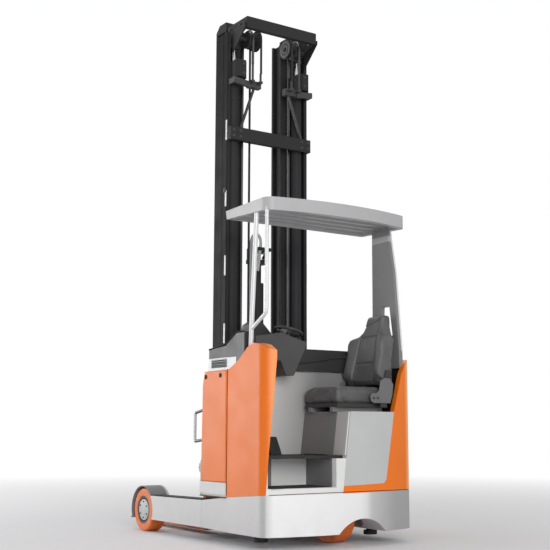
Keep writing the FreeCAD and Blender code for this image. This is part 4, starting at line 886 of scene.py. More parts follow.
    @classmethod
    def tube(cls, name: str, route: Sequence[Point], radius: float,
             smooth: bool = False) -> bpy.types.Object:
        """A round bar or hose along a route.

        Args:
            name: Its name.
            route: Its points in metres.
            radius: Its radius in metres.
            smooth: Whether it bends in one curve between its points.

        Returns:
            The piece.
        """
        line = bpy.data.curves.new(name, "CURVE")
        line.dimensions = "3D"
        spline = line.splines.new("NURBS" if smooth else "POLY")
        spline.points.add(len(route) - 1)
        for point, place in zip(spline.points, route):
            point.co = (*place, 1.0)
        if smooth:
            spline.order_u = 3
            spline.use_endpoint_u = True
            line.resolution_u = 10
        line.bevel_depth = radius
        line.bevel_resolution = 3
        line.use_fill_caps = True
        piece = bpy.data.objects.new(name, line)
        bpy.context.scene.collection.objects.link(piece)
        cls.only(piece)
        bpy.ops.object.convert(target="MESH")
        piece = bpy.context.active_object
        cls.only(piece)
        bpy.ops.object.shade_smooth_by_angle(angle=math.radians(50))
        return piece

    @classmethod
    def dress(cls, piece: bpy.types.Object, body: str, finish: object, slot: str,
              replaced: Sequence[str] = ()) -> None:
        """Give a piece its finish and the body that it rides on.

        Args:
            piece: The finished mesh.
            body: The body that carries it.
            finish: Its finish.
            slot: The record's material slot; not used.
            replaced: Nodes that it stands for.
        """
        piece.data.materials.clear()
        piece.data.materials.append(cls.finish(finish))
        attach(piece, body)
        if replaced:
            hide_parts(*replaced)
        LOG.info("made %s", piece.name)

    @classmethod
    def strand(cls, piece: bpy.types.Object, finish: object, slot: str,
               ends: Sequence[tuple[str, Point]]) -> None:
        """Give a strand its finish, and tie each of its ends to a body.

        Args:
            piece: The strand.
            finish: Its finish.
            slot: The record's material slot; not used.
            ends: The body and the place of its first and its last end; not used.
        """
        piece.data.materials.clear()
        piece.data.materials.append(cls.finish(finish))
        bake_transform(piece)
        LOG.info("made %s", piece.name)

    @classmethod
    def node_copy(cls, node: str) -> bpy.types.Object:
        """Copy a node, with its loose triangles joined and its flats cleaned.

        Args:
            node: The node's name.

        Returns:
            The copy.
        """
        source = frame["nodes"][node]
        piece = source.copy()
        piece.data = source.data.copy()
        piece.parent = None
        for key in list(piece.keys()):
            del piece[key]
        bpy.context.scene.collection.objects.link(piece)
        piece.name = node + "_shown"
        cls.only(piece)
        bpy.ops.object.mode_set(mode="EDIT")
        bpy.ops.mesh.select_all(action="SELECT")
        bpy.ops.mesh.remove_doubles(threshold=0.00002)
        bpy.ops.mesh.dissolve_limited(angle_limit=math.radians(0.4))
        bpy.ops.object.mode_set(mode="OBJECT")
        return piece


@dataclass
class Coachwork:
    """The truck's rigid nodes, in their finishes."""

    finishes: dict[str, object] = field(default_factory=lambda: NODE_FINISH)
    radii: dict[str, float] = field(default_factory=lambda: ROUNDED_NODES)

    def slots(self) -> dict[str, str]:
        """The record's material slot of each node."""
        return {part["node"]: part["material_slot"] for part in frame["record"]["subparts"]}

    def bodies(self) -> dict[str, str]:
        """The body of each node."""
        groups = frame["record"]["behaviour"]["bodies"]
        return {node: body for body, members in groups.items() for node in members}

    def build(self) -> None:
        """Finish every node, and round the edges of those listed."""
        slots, bodies = self.slots(), self.bodies()
        for node, thing in frame["nodes"].items():
            thing.data.materials.clear()
            thing.data.materials.append(Bench.finish(self.finishes[node]))
        for node, radius in self.radii.items():
            piece = Bench.node_copy(node)
            Bench.edges(piece, radius)
            Bench.dress(piece, bodies[node], self.finishes[node], slots[node], [node])


@dataclass
class Seat:
    """The padded cushion and backrest, their seams, and the covers of the recliner."""

    voxel: float = 0.006
    shrink: float = 0.004
    swell: float = 0.016
    smoothing: float = 0.5
    wing: float = 0.055
    wing_start: float = 0.42
    wing_run: float = 0.5
    wing_foot: float = 0.10
    wing_top: float = 0.43
    wing_fade: float = 0.14
    wing_depth: float = 0.075
    lean: float = 10.0
    frames: int = 20
    pressure: float = 4.0
    seam_reach: float = 0.008
    seam_depth: float = 0.006
    # Seams of the backrest, each from one place to another. Columns: station, height.
    back_seams: tuple[tuple[Pair, Pair], ...] = (
        ((92, 1440), (86, 1010)), ((268, 1330), (296, 1010)), ((92, 1440), (236, 1400)),
        ((236, 1400), (268, 1330)),
        ((92, 1333), (268, 1330)), ((90, 1155), (288, 1153)))
    # Seams of the cushion's top. Columns: X, station.
    top_seams: tuple[tuple[Pair, Pair], ...] = (
        ((-20, 82), (330, 82)), ((-20, 278), (330, 278)), ((120, 82), (120, 278)))

    def points(self, piece: bpy.types.Object) -> numpy.ndarray:
        """The places of a mesh's points.

        Args:
            piece: The mesh.

        Returns:
            A row of three coordinates for each point.
        """
        values = numpy.empty(len(piece.data.vertices) * 3, dtype=numpy.float32)
        piece.data.vertices.foreach_get("co", values)
        return values.reshape(-1, 3)

    def put(self, piece: bpy.types.Object, places: numpy.ndarray) -> None:
        """Move a mesh's points.

        Args:
            piece: The mesh.
            places: Their new places.
        """
        piece.data.vertices.foreach_set("co", places.astype(numpy.float32).ravel())
        piece.data.update()

    def bolstered(self, places: numpy.ndarray, low: numpy.ndarray,
                  high: numpy.ndarray) -> numpy.ndarray:
        """Draw the backrest's sides forwards into wings.

        Args:
            places: Its points.
            low: The lowest corner of its box.
            high: The highest corner.

        Returns:
            The points with the wings.
        """
        def eased(values: numpy.ndarray) -> numpy.ndarray:
            """A share from 0 to 1 with soft ends."""
            share = numpy.clip(values, 0.0, 1.0)
            return share * share * (3 - 2 * share)
        middle, half = (low[1] + high[1]) / 2, (high[1] - low[1]) / 2
        height = places[:, 2] - low[2]
        out = eased((numpy.abs(places[:, 1] - middle) / half - self.wing_start) / self.wing_run)
        fall = (low[2] + self.wing_top - places[:, 2]) / self.wing_fade
        tall = eased(height / self.wing_foot) * eased(fall)
        front = low[0] + height * math.tan(math.radians(self.lean))
        near = eased(1.0 - (places[:, 0] - front) / self.wing_depth)
        moved = places.copy()
        moved[:, 0] -= self.wing * out * tall * near
        return moved

    def padded(self, node: str, name: str, winged: bool = False) -> bpy.types.Object:
        """Swell a copy of a soft node like a filled cover.

        Args:
            node: The soft node.
            name: The new piece's name.
            winged: Whether its sides are drawn forwards.

        Returns:
            The swollen piece.
        """
        piece = Bench.node_copy(node)
        low, high = (numpy.array(corner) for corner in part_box(node))
        centre = (low + high) / 2
        share = 1 - 2 * self.shrink / (high - low)
        self.put(piece, centre + (self.points(piece) - centre) * share)
        Bench.modify(piece, "REMESH", mode="VOXEL", voxel_size=self.voxel)
        if winged:
            self.put(piece, self.bolstered(self.points(piece), low, high))
        Bench.modify(piece, "SMOOTH", factor=self.smoothing, iterations=4)
        start = self.points(piece)
        self.inflate(piece)
        moves = self.points(piece) - start
        lengths = numpy.maximum(numpy.linalg.norm(moves, axis=1, keepdims=True), 1e-9)
        moves *= numpy.minimum(1.0, self.swell / lengths)
        places = start + moves
        places[:, 1] = numpy.clip(places[:, 1], low[1], high[1])
        places[:, 2] = numpy.maximum(places[:, 2], low[2])
        self.put(piece, places)
        Bench.modify(piece, "SMOOTH", factor=self.smoothing, iterations=2)
        Bench.modify(piece, "SUBSURF", levels=1, render_levels=1)
        Bench.only(piece)
        bpy.ops.object.shade_smooth()
        piece.name = name
        piece.data.name = name
        return piece

    def inflate(self, piece: bpy.types.Object) -> None:
        """Run the cover's cloth under pressure and apply it.

        Args:
            piece: The cover.
        """
        Bench.only(piece)
        cover = piece.modifiers.new("cover", "CLOTH")
        cover.settings.use_pressure = True
        cover.settings.uniform_pressure_force = self.pressure
        cover.settings.effector_weights.gravity = 0.0
        cover.settings.quality = 4
        cover.point_cache.frame_start = 1
        cover.point_cache.frame_end = self.frames
        for number in range(1, self.frames + 1):
            bpy.context.scene.frame_set(number)
        bpy.ops.object.modifier_apply(modifier=cover.name)

    def sew(self, piece: bpy.types.Object, seams: Sequence[tuple[Pair, Pair]],
            axes: tuple[int, int], facing: Point) -> None:
        """Press seams into one side of a padded piece.

        Args:
            piece: The padded piece.
            seams: The seams, each from one place to another, in metres along two axes.
            axes: Those two axes.
            facing: The way that the side faces.
        """
        places = self.points(piece)
        normals = numpy.empty(len(piece.data.vertices) * 3, dtype=numpy.float32)
        piece.data.vertices.foreach_get("normal", normals)
        way = numpy.array(facing, dtype=float)
        facing_share = numpy.clip(normals.reshape(-1, 3) @ way * 2.0, 0.0, 1.0)
        flat = places[:, list(axes)]
        depth = numpy.zeros(len(places))
        for first, last in seams:
            start, end = numpy.array(first), numpy.array(last)
            run = end - start
            share = numpy.clip((flat - start) @ run / (run @ run), 0.0, 1.0)
            away = numpy.linalg.norm(flat - (start + share[:, None] * run), axis=1)
            depth = numpy.maximum(depth, numpy.clip(1 - (away / self.seam_reach) ** 2, 0.0, 1.0))
        places -= (depth * facing_share * self.seam_depth)[:, None] * way
        self.put(piece, places)

    def build(self) -> None:
        """Make the cushion, the backrest and the hardware beside them."""
        cushion = self.padded("seat_cushion", "seat_cushion_cover")
        seams = [[(across * MM, ahead(station)) for across, station in seam]
                 for seam in self.top_seams]
        self.sew(cushion, seams, (0, 1), UP)
        Bench.dress(cushion, "seat", SEAT, "seat_cover", ["seat_cushion"])
        back = self.padded("seat_backrest", "seat_backrest_cover", True)
        seams = [[(ahead(station), level * MM) for station, level in seam]
                 for seam in self.back_seams]
        self.sew(back, seams, (1, 2), LEFT)
        Bench.dress(back, "seat_back", SEAT, "seat_cover", ["seat_backrest"])
        self.recliner_covers()

    def recliner_covers(self) -> None:
        """Close the hinge's ears with moulded covers, each with two screws."""
        outline = [(214, 925), (222, 897), (240, 886), (376, 886), (394, 940), (404, 1008),
                   (374, 1046), (332, 1050), (298, 1030), (285, 966), (262, 949), (238, 950),
                   (221, 943)]
        for word, low, high, way in (("rear", -42, -33, REAR), ("front", 393, 402, FRONT)):
            cover = Bench.drawn(f"recliner_cover_{word}", Axis.Y, outline, low, high, 0.003)
            Bench.dress(cover, "seat", RECLINER, "seat_cover")
            seat = low if way == REAR else high
            places = [(at(across, seat, 919), way) for across in (240, 272)]
            screws = Bench.bolts(f"recliner_screws_{word}", 6, places)
            Bench.dress(screws, "seat", BLACK, "black_steel")


@dataclass
class BodyTrim:
    """Seams, bolts, vents, latches and linings of the body, with painted light and shade in its
    gaps, recesses and edges.
    """

    side: float = 580.0
    cover_side: float = 588.0
    seam_finish: Paint = Paint("seam_shadow", srgb(84, 48, 30), gloss=(0.30, 0.42), shine=0.1)
    bulge_radius: float = 1818.0
    bulge: float = 95.0
    line_reach: int = 27
    line_pitch: float = 20.0
    line_level: float = 331.0
    line_rise: float = 0.0742
    blades: int = 8
    blade_foot: float = 1115.0
    blade_pitch: float = 6.3
    step_span: Pair = (372.0, 540.0)
    box_face: float = -56.0
    box_level: float = 290.0
    box_slant: float = 0.1244
    box_span: Pair = (562.0, 828.0)
    lip_ends: Pair = (748.0, 1466.0)

    def build(self) -> None:
        """Make each of them."""
        self.seams()
        self.parting_line()
        self.cover_screws()
        self.louvres()
        self.upright_latch()
        self.cowl_edge()
        self.cowl_tails()
        self.leg_lips()
        self.step_painted_light_and_tread()
        self.seat_box_painted_shade()
        self.pedals()
        self.dash_details()

    def panel(self, name: str, low: Point, high: Point, radius: float, finish: object,
              slot: str) -> None:
        """A rounded box on the chassis.

        Args:
            name: Its name.
            low: The corner with the lowest coordinates, in millimetres.
            high: The corner with the highest.
            radius: The radius of its edges in metres.
            finish: Its finish.
            slot: The record's material slot.
        """
        Bench.dress(Bench.block(name, low, high, radius), "chassis", finish, slot)

    def seams(self) -> None:
        """Painted shadow in the gaps between the bay covers and their neighbours, on both sides."""
        strips = []
        for _, sign in SIDES:
            low, high = mirrored(sign, self.side - 6, self.side + 1.5)
            strips.append(Bench.block("seam_upright", (low, 414.5, 306), (high, 419.5, 1098),
                                      0.0008))
            low, high = mirrored(sign, self.cover_side - 10, self.cover_side + 0.8)
            strips.append(Bench.block("seam_foot", (low, 418, 294), (high, 744, 300.4), 0.0008))
        Bench.dress(Bench.joined("body_seams", *strips), "chassis", self.seam_finish, "body_orange")

    def parting_line(self) -> None:
        """The painted shadow line round the rear, between the body and the frame."""
        route = []
        for step in range(-self.line_reach, self.line_reach + 1):
            across = step * self.line_pitch
            bow = math.sqrt(self.bulge_radius ** 2 - across ** 2) - (self.bulge_radius - self.bulge)
            route.append(at(across, -bow + 0.6, self.line_level + self.line_rise * bow))
        line = Bench.tube("parting_line", route, 0.0022)
        Bench.dress(line, "chassis", self.seam_finish, "body_orange")

    def cover_screws(self) -> None:
        """The sunk screws near the top of each bay cover."""
        places = [(at(sign * self.cover_side, station, level), outward(sign))
                  for _, sign in SIDES for station, level in ((681, 1059), (493, 1063))]
        profile = [(-2, 15), (2.2, 15), (2.8, 13), (1.2, 9), (1.0, 4)]
        ring = Bench.turned("ring", ORIGIN, UP, profile, 24)
        Bench.dress(Bench.repeated("cover_screws", ring, places), "chassis", BLACK_AND_SHADE, "black_steel")

    def louvres(self) -> None:
        """The blades in the vent on each side."""
        blades = []
        for _, sign in SIDES:
            for number in range(self.blades):
                foot = self.blade_foot + number * self.blade_pitch
                outline = [(sign * 574, foot), (sign * 574, foot + 5),
                           (sign * 579, foot + 4.6), (sign * 583, foot + 1)]
                blades.append(Bench.drawn("blade", Axis.Y, outline, 430, 622))
            low, high = mirrored(sign, 572, 580.6)
            for start, end in (((427, 1112), (625, 1114.6)), ((427, 1165.4), (625, 1168)),
                               ((427, 1114), (430, 1166)), ((622, 1114), (625, 1166))):
                blades.append(Bench.block("rim", (low, *start), (high, *end), 0.0006))
        Bench.dress(Bench.joined("vent_blades", *blades), "chassis", BLADE, "panel_grey")

    def upright_latch(self) -> None:
        """The upright ahead of the bay on each side, with its latch."""
        for word, sign in SIDES:
            low, high = mirrored(sign, 548, 578)
            self.panel(f"bay_upright_{word}", (low, 746, 300), (high, 758, 522), 0.002, PALE,
                       "frame_grey")
            low, high = mirrored(sign, 546, 581)
            parts = [Bench.block("latch_plate", (low, 758, 446), (high, 772, 500), 0.003),
                     Bench.block("latch_tongue", (low, 744, 466), (high, 780, 478), 0.002)]
            Bench.dress(Bench.joined(f"bay_latch_{word}", *parts), "chassis", CREAM, "frame_grey")

    def cowl_edge(self) -> None:
        """The black lip along the top of the cowl, and the small hook on it."""
        for word, side in (("left", -574.0), ("right", 534.0)):
            route = [at(side, 664, 1236), at(side, 440, 1262)]
            if side < 0:
                route += [at(side, 318, 1326), at(side, 226, 1326)]
            lip = Bench.tube(f"cowl_lip_{word}", route, 0.006)
            Bench.dress(lip, "chassis", BLACK_AND_SHADE, "dark_plastic")
        route = [at(-560, 363, 1288), at(-560, 363, 1312), at(-560, 350, 1322), at(-560, 338, 1312)]
        hook = Bench.tube("cowl_hook", route, 0.0045, True)
        Bench.dress(hook, "chassis", BLACK, "black_steel")

    def cowl_tails(self) -> None:
        """The pale end of each vent band, which runs on behind the body's corner."""
        for word, low, high in (("left", -579.0, -575.4), ("right", 535.6, 538.4)):
            self.panel(f"vent_tail_{word}", (low, 318, 1097), (high, 418, 1173), 0.001, VENT,
                       "panel_grey")

    def leg_top(self, station: float) -> float:
        """The height of a leg's top at a station."""
        return LEG_REAR_TOP - (station - LEG_REAR) * LEG_FALL

    def leg_lips(self) -> None:
        """A dark strip along the top of each leg."""
        start, end = self.lip_ends
        outline = [(start, self.leg_top(start) - 3), (end, self.leg_top(end) - 3),
                   (end, self.leg_top(end) + 6), (start, self.leg_top(start) + 6)]
        for word, sign in SIDES:
            low, high = mirrored(sign, 579, 480)
            strip = Bench.drawn(f"leg_lip_{word}", Axis.X, outline, low, high, 0.001)
            Bench.dress(strip, "chassis", BLACK_AND_SHADE, "black_rubber")

    def step_painted_light_and_tread(self) -> None:
        """Sheets inside the step opening, and its tread: a white sheet on the back wall is painted
        light, and darker sheets on the jamb and the right wall are painted shade.
        """
        foot, head = self.step_span
        # Painted light: a white sheet over the opening's back wall.
        self.panel("step_back_painted_light", (-541, 228, foot), (-103, 233, head), 0.002, WHITE,
                   "step_grey")
        # Painted shade: darker sheets on the jamb and on the opening's right wall.
        self.panel("step_jamb_painted_shade", (-541, 221, foot), (-373, 227.5, head), 0.001, SHADE, "step_grey")
        self.panel("step_side_painted_shade", (-104.5, -50, foot), (-101, 226, head), 0.001, SHADE,
                   "step_grey")
        ribs = [Bench.block("rib", (-540, station, foot - 2.5), (-106, station + 9, foot + 0.5),
                            0.001) for station in range(-40, 220, 24)]
        Bench.dress(Bench.joined("step_tread", *ribs), "chassis", RUBBER, "floor_mat")

    def seat_box_painted_shade(self) -> None:
        """Painted shade on the seat box's side, a lighter painted half shade on its corner, and a
        painted highlight along its edge.
        """
        def across(level: float) -> float:
            """The face of the seat box at a height."""
            return self.box_face + (level - self.box_level) * self.box_slant
        foot, head = self.box_span
        # Thin sheets: painted shade on the side and painted half shade on the corner.
        for name, finish, low, high, out in (("seat_box_side_painted_shade", SHADE, 42, 400, 5.0),
                                             ("seat_box_corner_painted_half_shade", HALF_SHADE, -72, 40, 4.0)):
            outline = [(across(foot) - out, foot), (across(foot) + 1, foot),
                       (across(head) + 1, head), (across(head) - out, head)]
            skin = Bench.drawn(name, Axis.Y, outline, low, high, 0.0015)
            Bench.dress(skin, "chassis", finish, "panel_grey")
        # A painted highlight along the seat box's edge.
        route = [at(across(level) - 2, -82, level) for level in (foot, 690, head)]
        edge = Bench.tube("seat_box_edge", route, 0.004)
        Bench.dress(edge, "chassis", BRIGHT, "panel_grey")
        self.panel("side_liner", (532, 10, 832), (539.4, 396, 1121), 0.003, PLASTIC, "dark_plastic")
        # A painted highlight along the pillar's edge.
        route = [at(536, 132, 2072), at(536, 74, 1762), at(536, 25, 1236)]
        rim = Bench.tube("pillar_edge_painted_highlight", route, 0.006)
        Bench.dress(rim, "chassis", BRIGHT, "frame_grey")
        self.panel("console_skirt", (-489, 330, 1066), (-340, 386, 1180), 0.004, PLASTIC,
                   "dark_plastic")

    def pedals(self) -> None:
        """The two foot pedals on the floor."""
        outline = [(300, 560), (334, 560), (372, 622), (388, 660), (366, 674), (344, 640),
                   (314, 590)]
        pads = [Bench.drawn("pedal", Axis.X, outline, low, low + 82, 0.004) for low in (-430, -322)]
        Bench.dress(Bench.joined("foot_pedals", *pads), "chassis", RUBBER, "floor_mat")

    def dash_details(self) -> None:
        """The ridge of the dash, the trims beside the console, and the levers."""
        route = [at(across, 386, level)
                 for across, level in ((-60, 1150), (106, 1173), (250, 1199), (500, 1206))]
        ridge = Bench.tube("dash_ridge", route, 0.005)
        Bench.dress(ridge, "chassis", PLASTIC, "dark_plastic")
        self.panel("console_upright", (-117, 378, 1100), (-84, 387, 1174), 0.003, BLADE,
                   "panel_grey")
        self.panel("column_trim", (-490, 392, 1100), (-440, 401, 1216), 0.003, VENT, "panel_grey")
        knob = Bench.turned("lever_knob", at(-250, 268, 1326), UP,
                            [(0, 13), (10, 17), (18, 22), (26, 24), (34, 20), (39, 12), (41, 5)])
        Bench.dress(knob, "chassis", KNOB, "dark_plastic")
        stick = Bench.turned("lever_stick", at(-176, 330, 1296), UP,
                             [(0, 9), (42, 7), (52, 13), (66, 17), (80, 16), (88, 9), (90, 4)])
        Bench.dress(stick, "chassis", PLASTIC, "dark_plastic")


@dataclass
class WheelTrim:
    """Hub caps and bolts of the load wheels."""

    station: float = 1600.0
    level: float = 150.0
    side: float = 565.0
    bolts: int = 6
    bolt_circle: float = 56.0
    profile: tuple[Pair, ...] = ((0, 74), (4, 74), (6, 70), (7, 36), (10, 30), (11, 14))

    def build(self) -> None:
        """Cap each load wheel on its outer side."""
        for word, sign in SIDES:
            foot = at(sign * (self.side - 4), self.station, self.level)
            cap = Bench.turned(f"hub_cap_{word}", foot, outward(sign), self.profile, 40)
            Bench.dress(cap, f"load_wheel_{word}", CAP, "hub_grey")
            places = []
            for number in range(self.bolts):
                turn = math.radians(360 / self.bolts * number)
                station = self.station + self.bolt_circle * math.sin(turn)
                level = self.level + self.bolt_circle * math.cos(turn)
                places.append((at(sign * (self.side + 2), station, level), outward(sign)))
            bolts = Bench.bolts(f"hub_bolts_{word}", 5, places)
            Bench.dress(bolts, f"load_wheel_{word}", IRON, "dark_iron")


@dataclass
class MastTrim:
    """Chains, hoses, strips and bolts of the mast."""

    axis_station: float = 820.0
    axis_level: float = 3498.0
    reach: float = 70.0
    chain_side: float = 200.0
    chain_thick: float = 7.0
    hose_side: float = 134.0
    hose_radius: float = 8.0
    chain_anchor: float = 3300.0
    hose_anchor: float = 3236.0
    foot: float = 124.0
    turn_steps: int = 16
    rail_foot: float = 3.4995
    rail_head: float = 3.604
    rail_side: float = 343.0
    pitch: float = 25.4
    # Heights of the light strips on an outer rail: their feet and heads.
    light_strip_spans: tuple[Pair, ...] = ((2746, 2892), (2266, 2381), (1776, 1917), (1304, 1441))

    def build(self) -> None:
        """Make each of them."""
        for word, sign in SIDES:
            self.chain(word, sign * self.chain_side)
            self.hose(word, sign * self.hose_side)
            self.rail_strips(word, sign)
        self.lift_hoses()
        self.rail_heads()
        self.beam_gussets()
        self.pulley_rings()
        self.head_bolts()

    def links(self, name: str, across: float, station: float, low: float,
              high: float) -> bpy.types.Object:
        """A straight run of leaf chain, upright.

        Args:
            name: Its name.
            across: Its place along X, in millimetres.
            station: Its station.
            low: Its lower end.
            high: Its upper end.

        Returns:
            The run.
        """
        half = self.pitch / 2
        plates = [Bench.block("plate", (across + start, station - 6, low + rise),
                              (across + start + 3, station + 6, low + rise + self.pitch * 0.92))
                  for start, rise in ((-7.5, 0), (-1.5, 0), (4.5, 0), (-4.5, half), (1.5, half))]
        pins = [Bench.turned("pin", at(across - 9, station, low + rise), RIGHT,
                             [(0, 3.4), (18, 3.4)], 8) for rise in (0.3 * half, 1.3 * half)]
        link = Bench.joined(name, *plates, *pins)
        Bench.modify(link, "ARRAY", count=max(1, round((high - low) / self.pitch)),
                     use_relative_offset=False, use_constant_offset=True,
                     constant_offset_displace=(0, 0, self.pitch * MM))
        return link

    def over(self, name: str, across: float, radius: float, thick: float) -> bpy.types.Object:
        """The half turn over a pulley.

        Args:
            name: Its name.
            across: Its place along X, in millimetres.
            radius: The radius of the turn in millimetres.
            thick: The radius of the chain or hose in metres.

        Returns:
            The turn.
        """
        route = []
        for step in range(self.turn_steps + 1):
            turn = math.pi * step / self.turn_steps
            route.append(at(across, self.axis_station - radius * math.cos(turn),
                            self.axis_level + radius * math.sin(turn)))
        return Bench.tube(name, route, thick)

    def chain(self, word: str, across: float) -> None:
        """One lift chain: up from its stud, over its sheave and down to the inner stage's foot.

        Args:
            word: Its side of the truck.
            across: Its place along X, in millimetres.
        """
        rear, front = self.axis_station - self.reach, self.axis_station + self.reach
        foot, head = at(across, rear, self.chain_anchor), at(across, rear, self.axis_level)
        up = self.links(f"chain_rear_{word}", across, rear, self.chain_anchor, self.axis_level)
        Bench.strand(up, CHAIN, "bare_steel", (("reach_mast", foot), ("mast_middle", head)))
        foot, head = at(across, front, self.foot), at(across, front, self.axis_level)
        down = self.links(f"chain_front_{word}", across, front, self.foot, self.axis_level)
        Bench.strand(down, CHAIN, "bare_steel", (("mast_middle", head), ("mast_inner", foot)))
        turn = self.over(f"chain_turn_{word}", across, self.reach, self.chain_thick * MM)
        Bench.dress(turn, "mast_middle", CHAIN, "bare_steel")

    def hose(self, word: str, across: float) -> None:
        """One hose over its pulley.

        Args:
            word: Its side of the truck.
            across: Its place along X, in millimetres.
        """
        reach, thick = self.reach + 6, self.hose_radius * MM
        rear, front = self.axis_station - reach, self.axis_station + reach
        foot, head = at(across, rear, self.hose_anchor), at(across, rear, self.axis_level)
        up = Bench.tube(f"hose_rear_{word}", [foot, head], thick)
        Bench.strand(up, RUBBER, "black_rubber", (("reach_mast", foot), ("mast_middle", head)))
        foot, head = at(across, front, self.foot), at(across, front, self.axis_level)
        down = Bench.tube(f"hose_front_{word}", [foot, head], thick)
        Bench.strand(down, RUBBER, "black_rubber", (("mast_middle", head), ("mast_inner", foot)))
        turn = self.over(f"hose_turn_{word}", across, reach, thick)
        Bench.dress(turn, "mast_middle", RUBBER, "black_rubber")

    def rail_strips(self, word: str, sign: int) -> None:
        """The dark channels, as painted shade, and the light strips on an outer rail's side.

        Args:
            word: The rail's side of the truck.
            sign: -1 on the left and 1 on the right.
        """
        def strip(name: str, out: float, start: Pair, end: Pair, radius: float) -> bpy.types.Object:
            """A strip that stands off the rail's side.

            Args:
                name: Its name.
                out: How far it stands off, in millimetres.
                start: The station and height of its lower corner.
                end: Those of its upper corner.
                radius: The radius of its edges in metres.

            Returns:
                The strip.
            """
            low, high = mirrored(sign, self.rail_side - 1, self.rail_side + out)
            return Bench.block(name, (low, *start), (high, *end), radius)
        # Painted shade: near-black strips in the rail side's channels.
        dark = [strip("groove_rear", 1.2, (860, 74), (889, 3540), 0.0005),
                strip("groove_front", 1.2, (922, 74), (950, 3540), 0.0005)]
        Bench.dress(Bench.joined(f"rail_groove_shade_{word}", *dark), "reach_mast", BLACK_AND_SHADE, "mast_black")
        # Light strips on the rail's side.
        bright = [strip("light_strip", 3.0, (859, low), (876, high), 0.001)
                  for low, high in self.light_strip_spans]
        worn = Bench.joined(f"light_strips_{word}", *bright)
        Bench.dress(worn, "reach_mast", BRIGHT, "bare_steel")
        profile = [(0, 19), (4, 19), (6, 16), (6.4, 8), (11, 8)]
        foot = at(sign * self.rail_side, 878, 2382)
        boss = Bench.turned(f"rail_boss_{word}", foot, outward(sign), profile)
        Bench.dress(boss, "reach_mast", STEEL_GREY, "bare_steel")

    def lift_hoses(self) -> None:
        """The pair of hoses that arch over the free lift's head."""
        for word, shift in (("left", 0), ("right", 20)):
            inner = shift * 0.6
            route = [at(-116 + shift, 914, 1300), at(-114 + shift, 914, 1700),
                     at(-112 + shift, 914, 1980), at(-98 + shift, 914, 2084),
                     at(-52 + inner, 914, 2116 - inner), at(-16, 914, 2070 - shift),
                     at(-26 - inner, 914, 1960), at(-40 - inner, 920, 1840)]
            hose = Bench.tube(f"free_lift_hose_{word}", route, 0.0095, True)
            Bench.dress(hose, "free_head", PIPE, "black_rubber")
        yoke = Bench.block("hose_yoke", (-64, 900, 1988), (64, 954, 2012), 0.003)
        Bench.dress(yoke, "free_head", MAST, "mast_black")

    def rail_heads(self) -> None:
        """The upper ends of the inner rails, which stand above the sheaves."""
        heads = Bench.node_copy("inner_mast_rails")
        for vertex in heads.data.vertices:
            vertex.co.z = self.rail_foot if vertex.co.z < self.rail_foot - 0.001 else self.rail_head
        heads.name = "inner_rail_heads"
        Bench.dress(heads, "mast_inner", MAST, "mast_black")

    def beam_gussets(self) -> None:
        """The plates that brace the top beam to the rails, one on each side."""
        outline = [(674, 3562), (846, 3562), (846, 3392), (832, 3392), (674, 3534)]
        plates = [Bench.drawn("gusset", Axis.X, outline, *mirrored(sign, 308.2, 314), 0.001)
                  for _, sign in SIDES]
        Bench.dress(Bench.joined("beam_gussets", *plates), "mast_middle", MAST, "mast_black")

    def pulley_rings(self) -> None:
        """The pale rims turned on the hose pulleys' inner faces."""
        rings = []
        for across, way in ((-121.6, RIGHT), (121.6, LEFT)):
            for wide, narrow in ((58, 50), (30, 22)):
                profile = [(-1.0, wide), (1.6, wide - 1), (1.6, narrow + 1), (-1.0, narrow)]
                foot = at(across, self.axis_station, self.axis_level)
                rings.append(Bench.turned("ring", foot, way, profile, 40))
        Bench.dress(Bench.joined("pulley_rings", *rings), "mast_middle", SHADE, "bare_steel")

    def head_bolts(self) -> None:
        """The bolts of the mast head, the clamps and the crossbeam."""
        places = [(at(sign * across, 806, level), REAR)
                  for _, sign in SIDES for across in (262, 318) for level in (2768, 2811)]
        bolts = Bench.bolts("crossbeam_bolts", 9, places)
        Bench.dress(bolts, "reach_mast", STEEL_GREY, "mast_black")
        places = [(at(sign * 262, 767, level), REAR) for _, sign in SIDES for level in (3228, 3296)]
        bolts = Bench.bolts("clamp_bolts", 8, places)
        Bench.dress(bolts, "reach_mast", STEEL_GREY, "mast_black")
        spots = ((700, 3570), (760, 3570), (900, 3580))
        places = [(at(sign * 308, station, level), outward(sign))
                  for _, sign in SIDES for station, level in spots]
        bolts = Bench.bolts("beam_bolts", 8, places)
        Bench.dress(bolts, "mast_middle", STEEL_GREY, "mast_black")


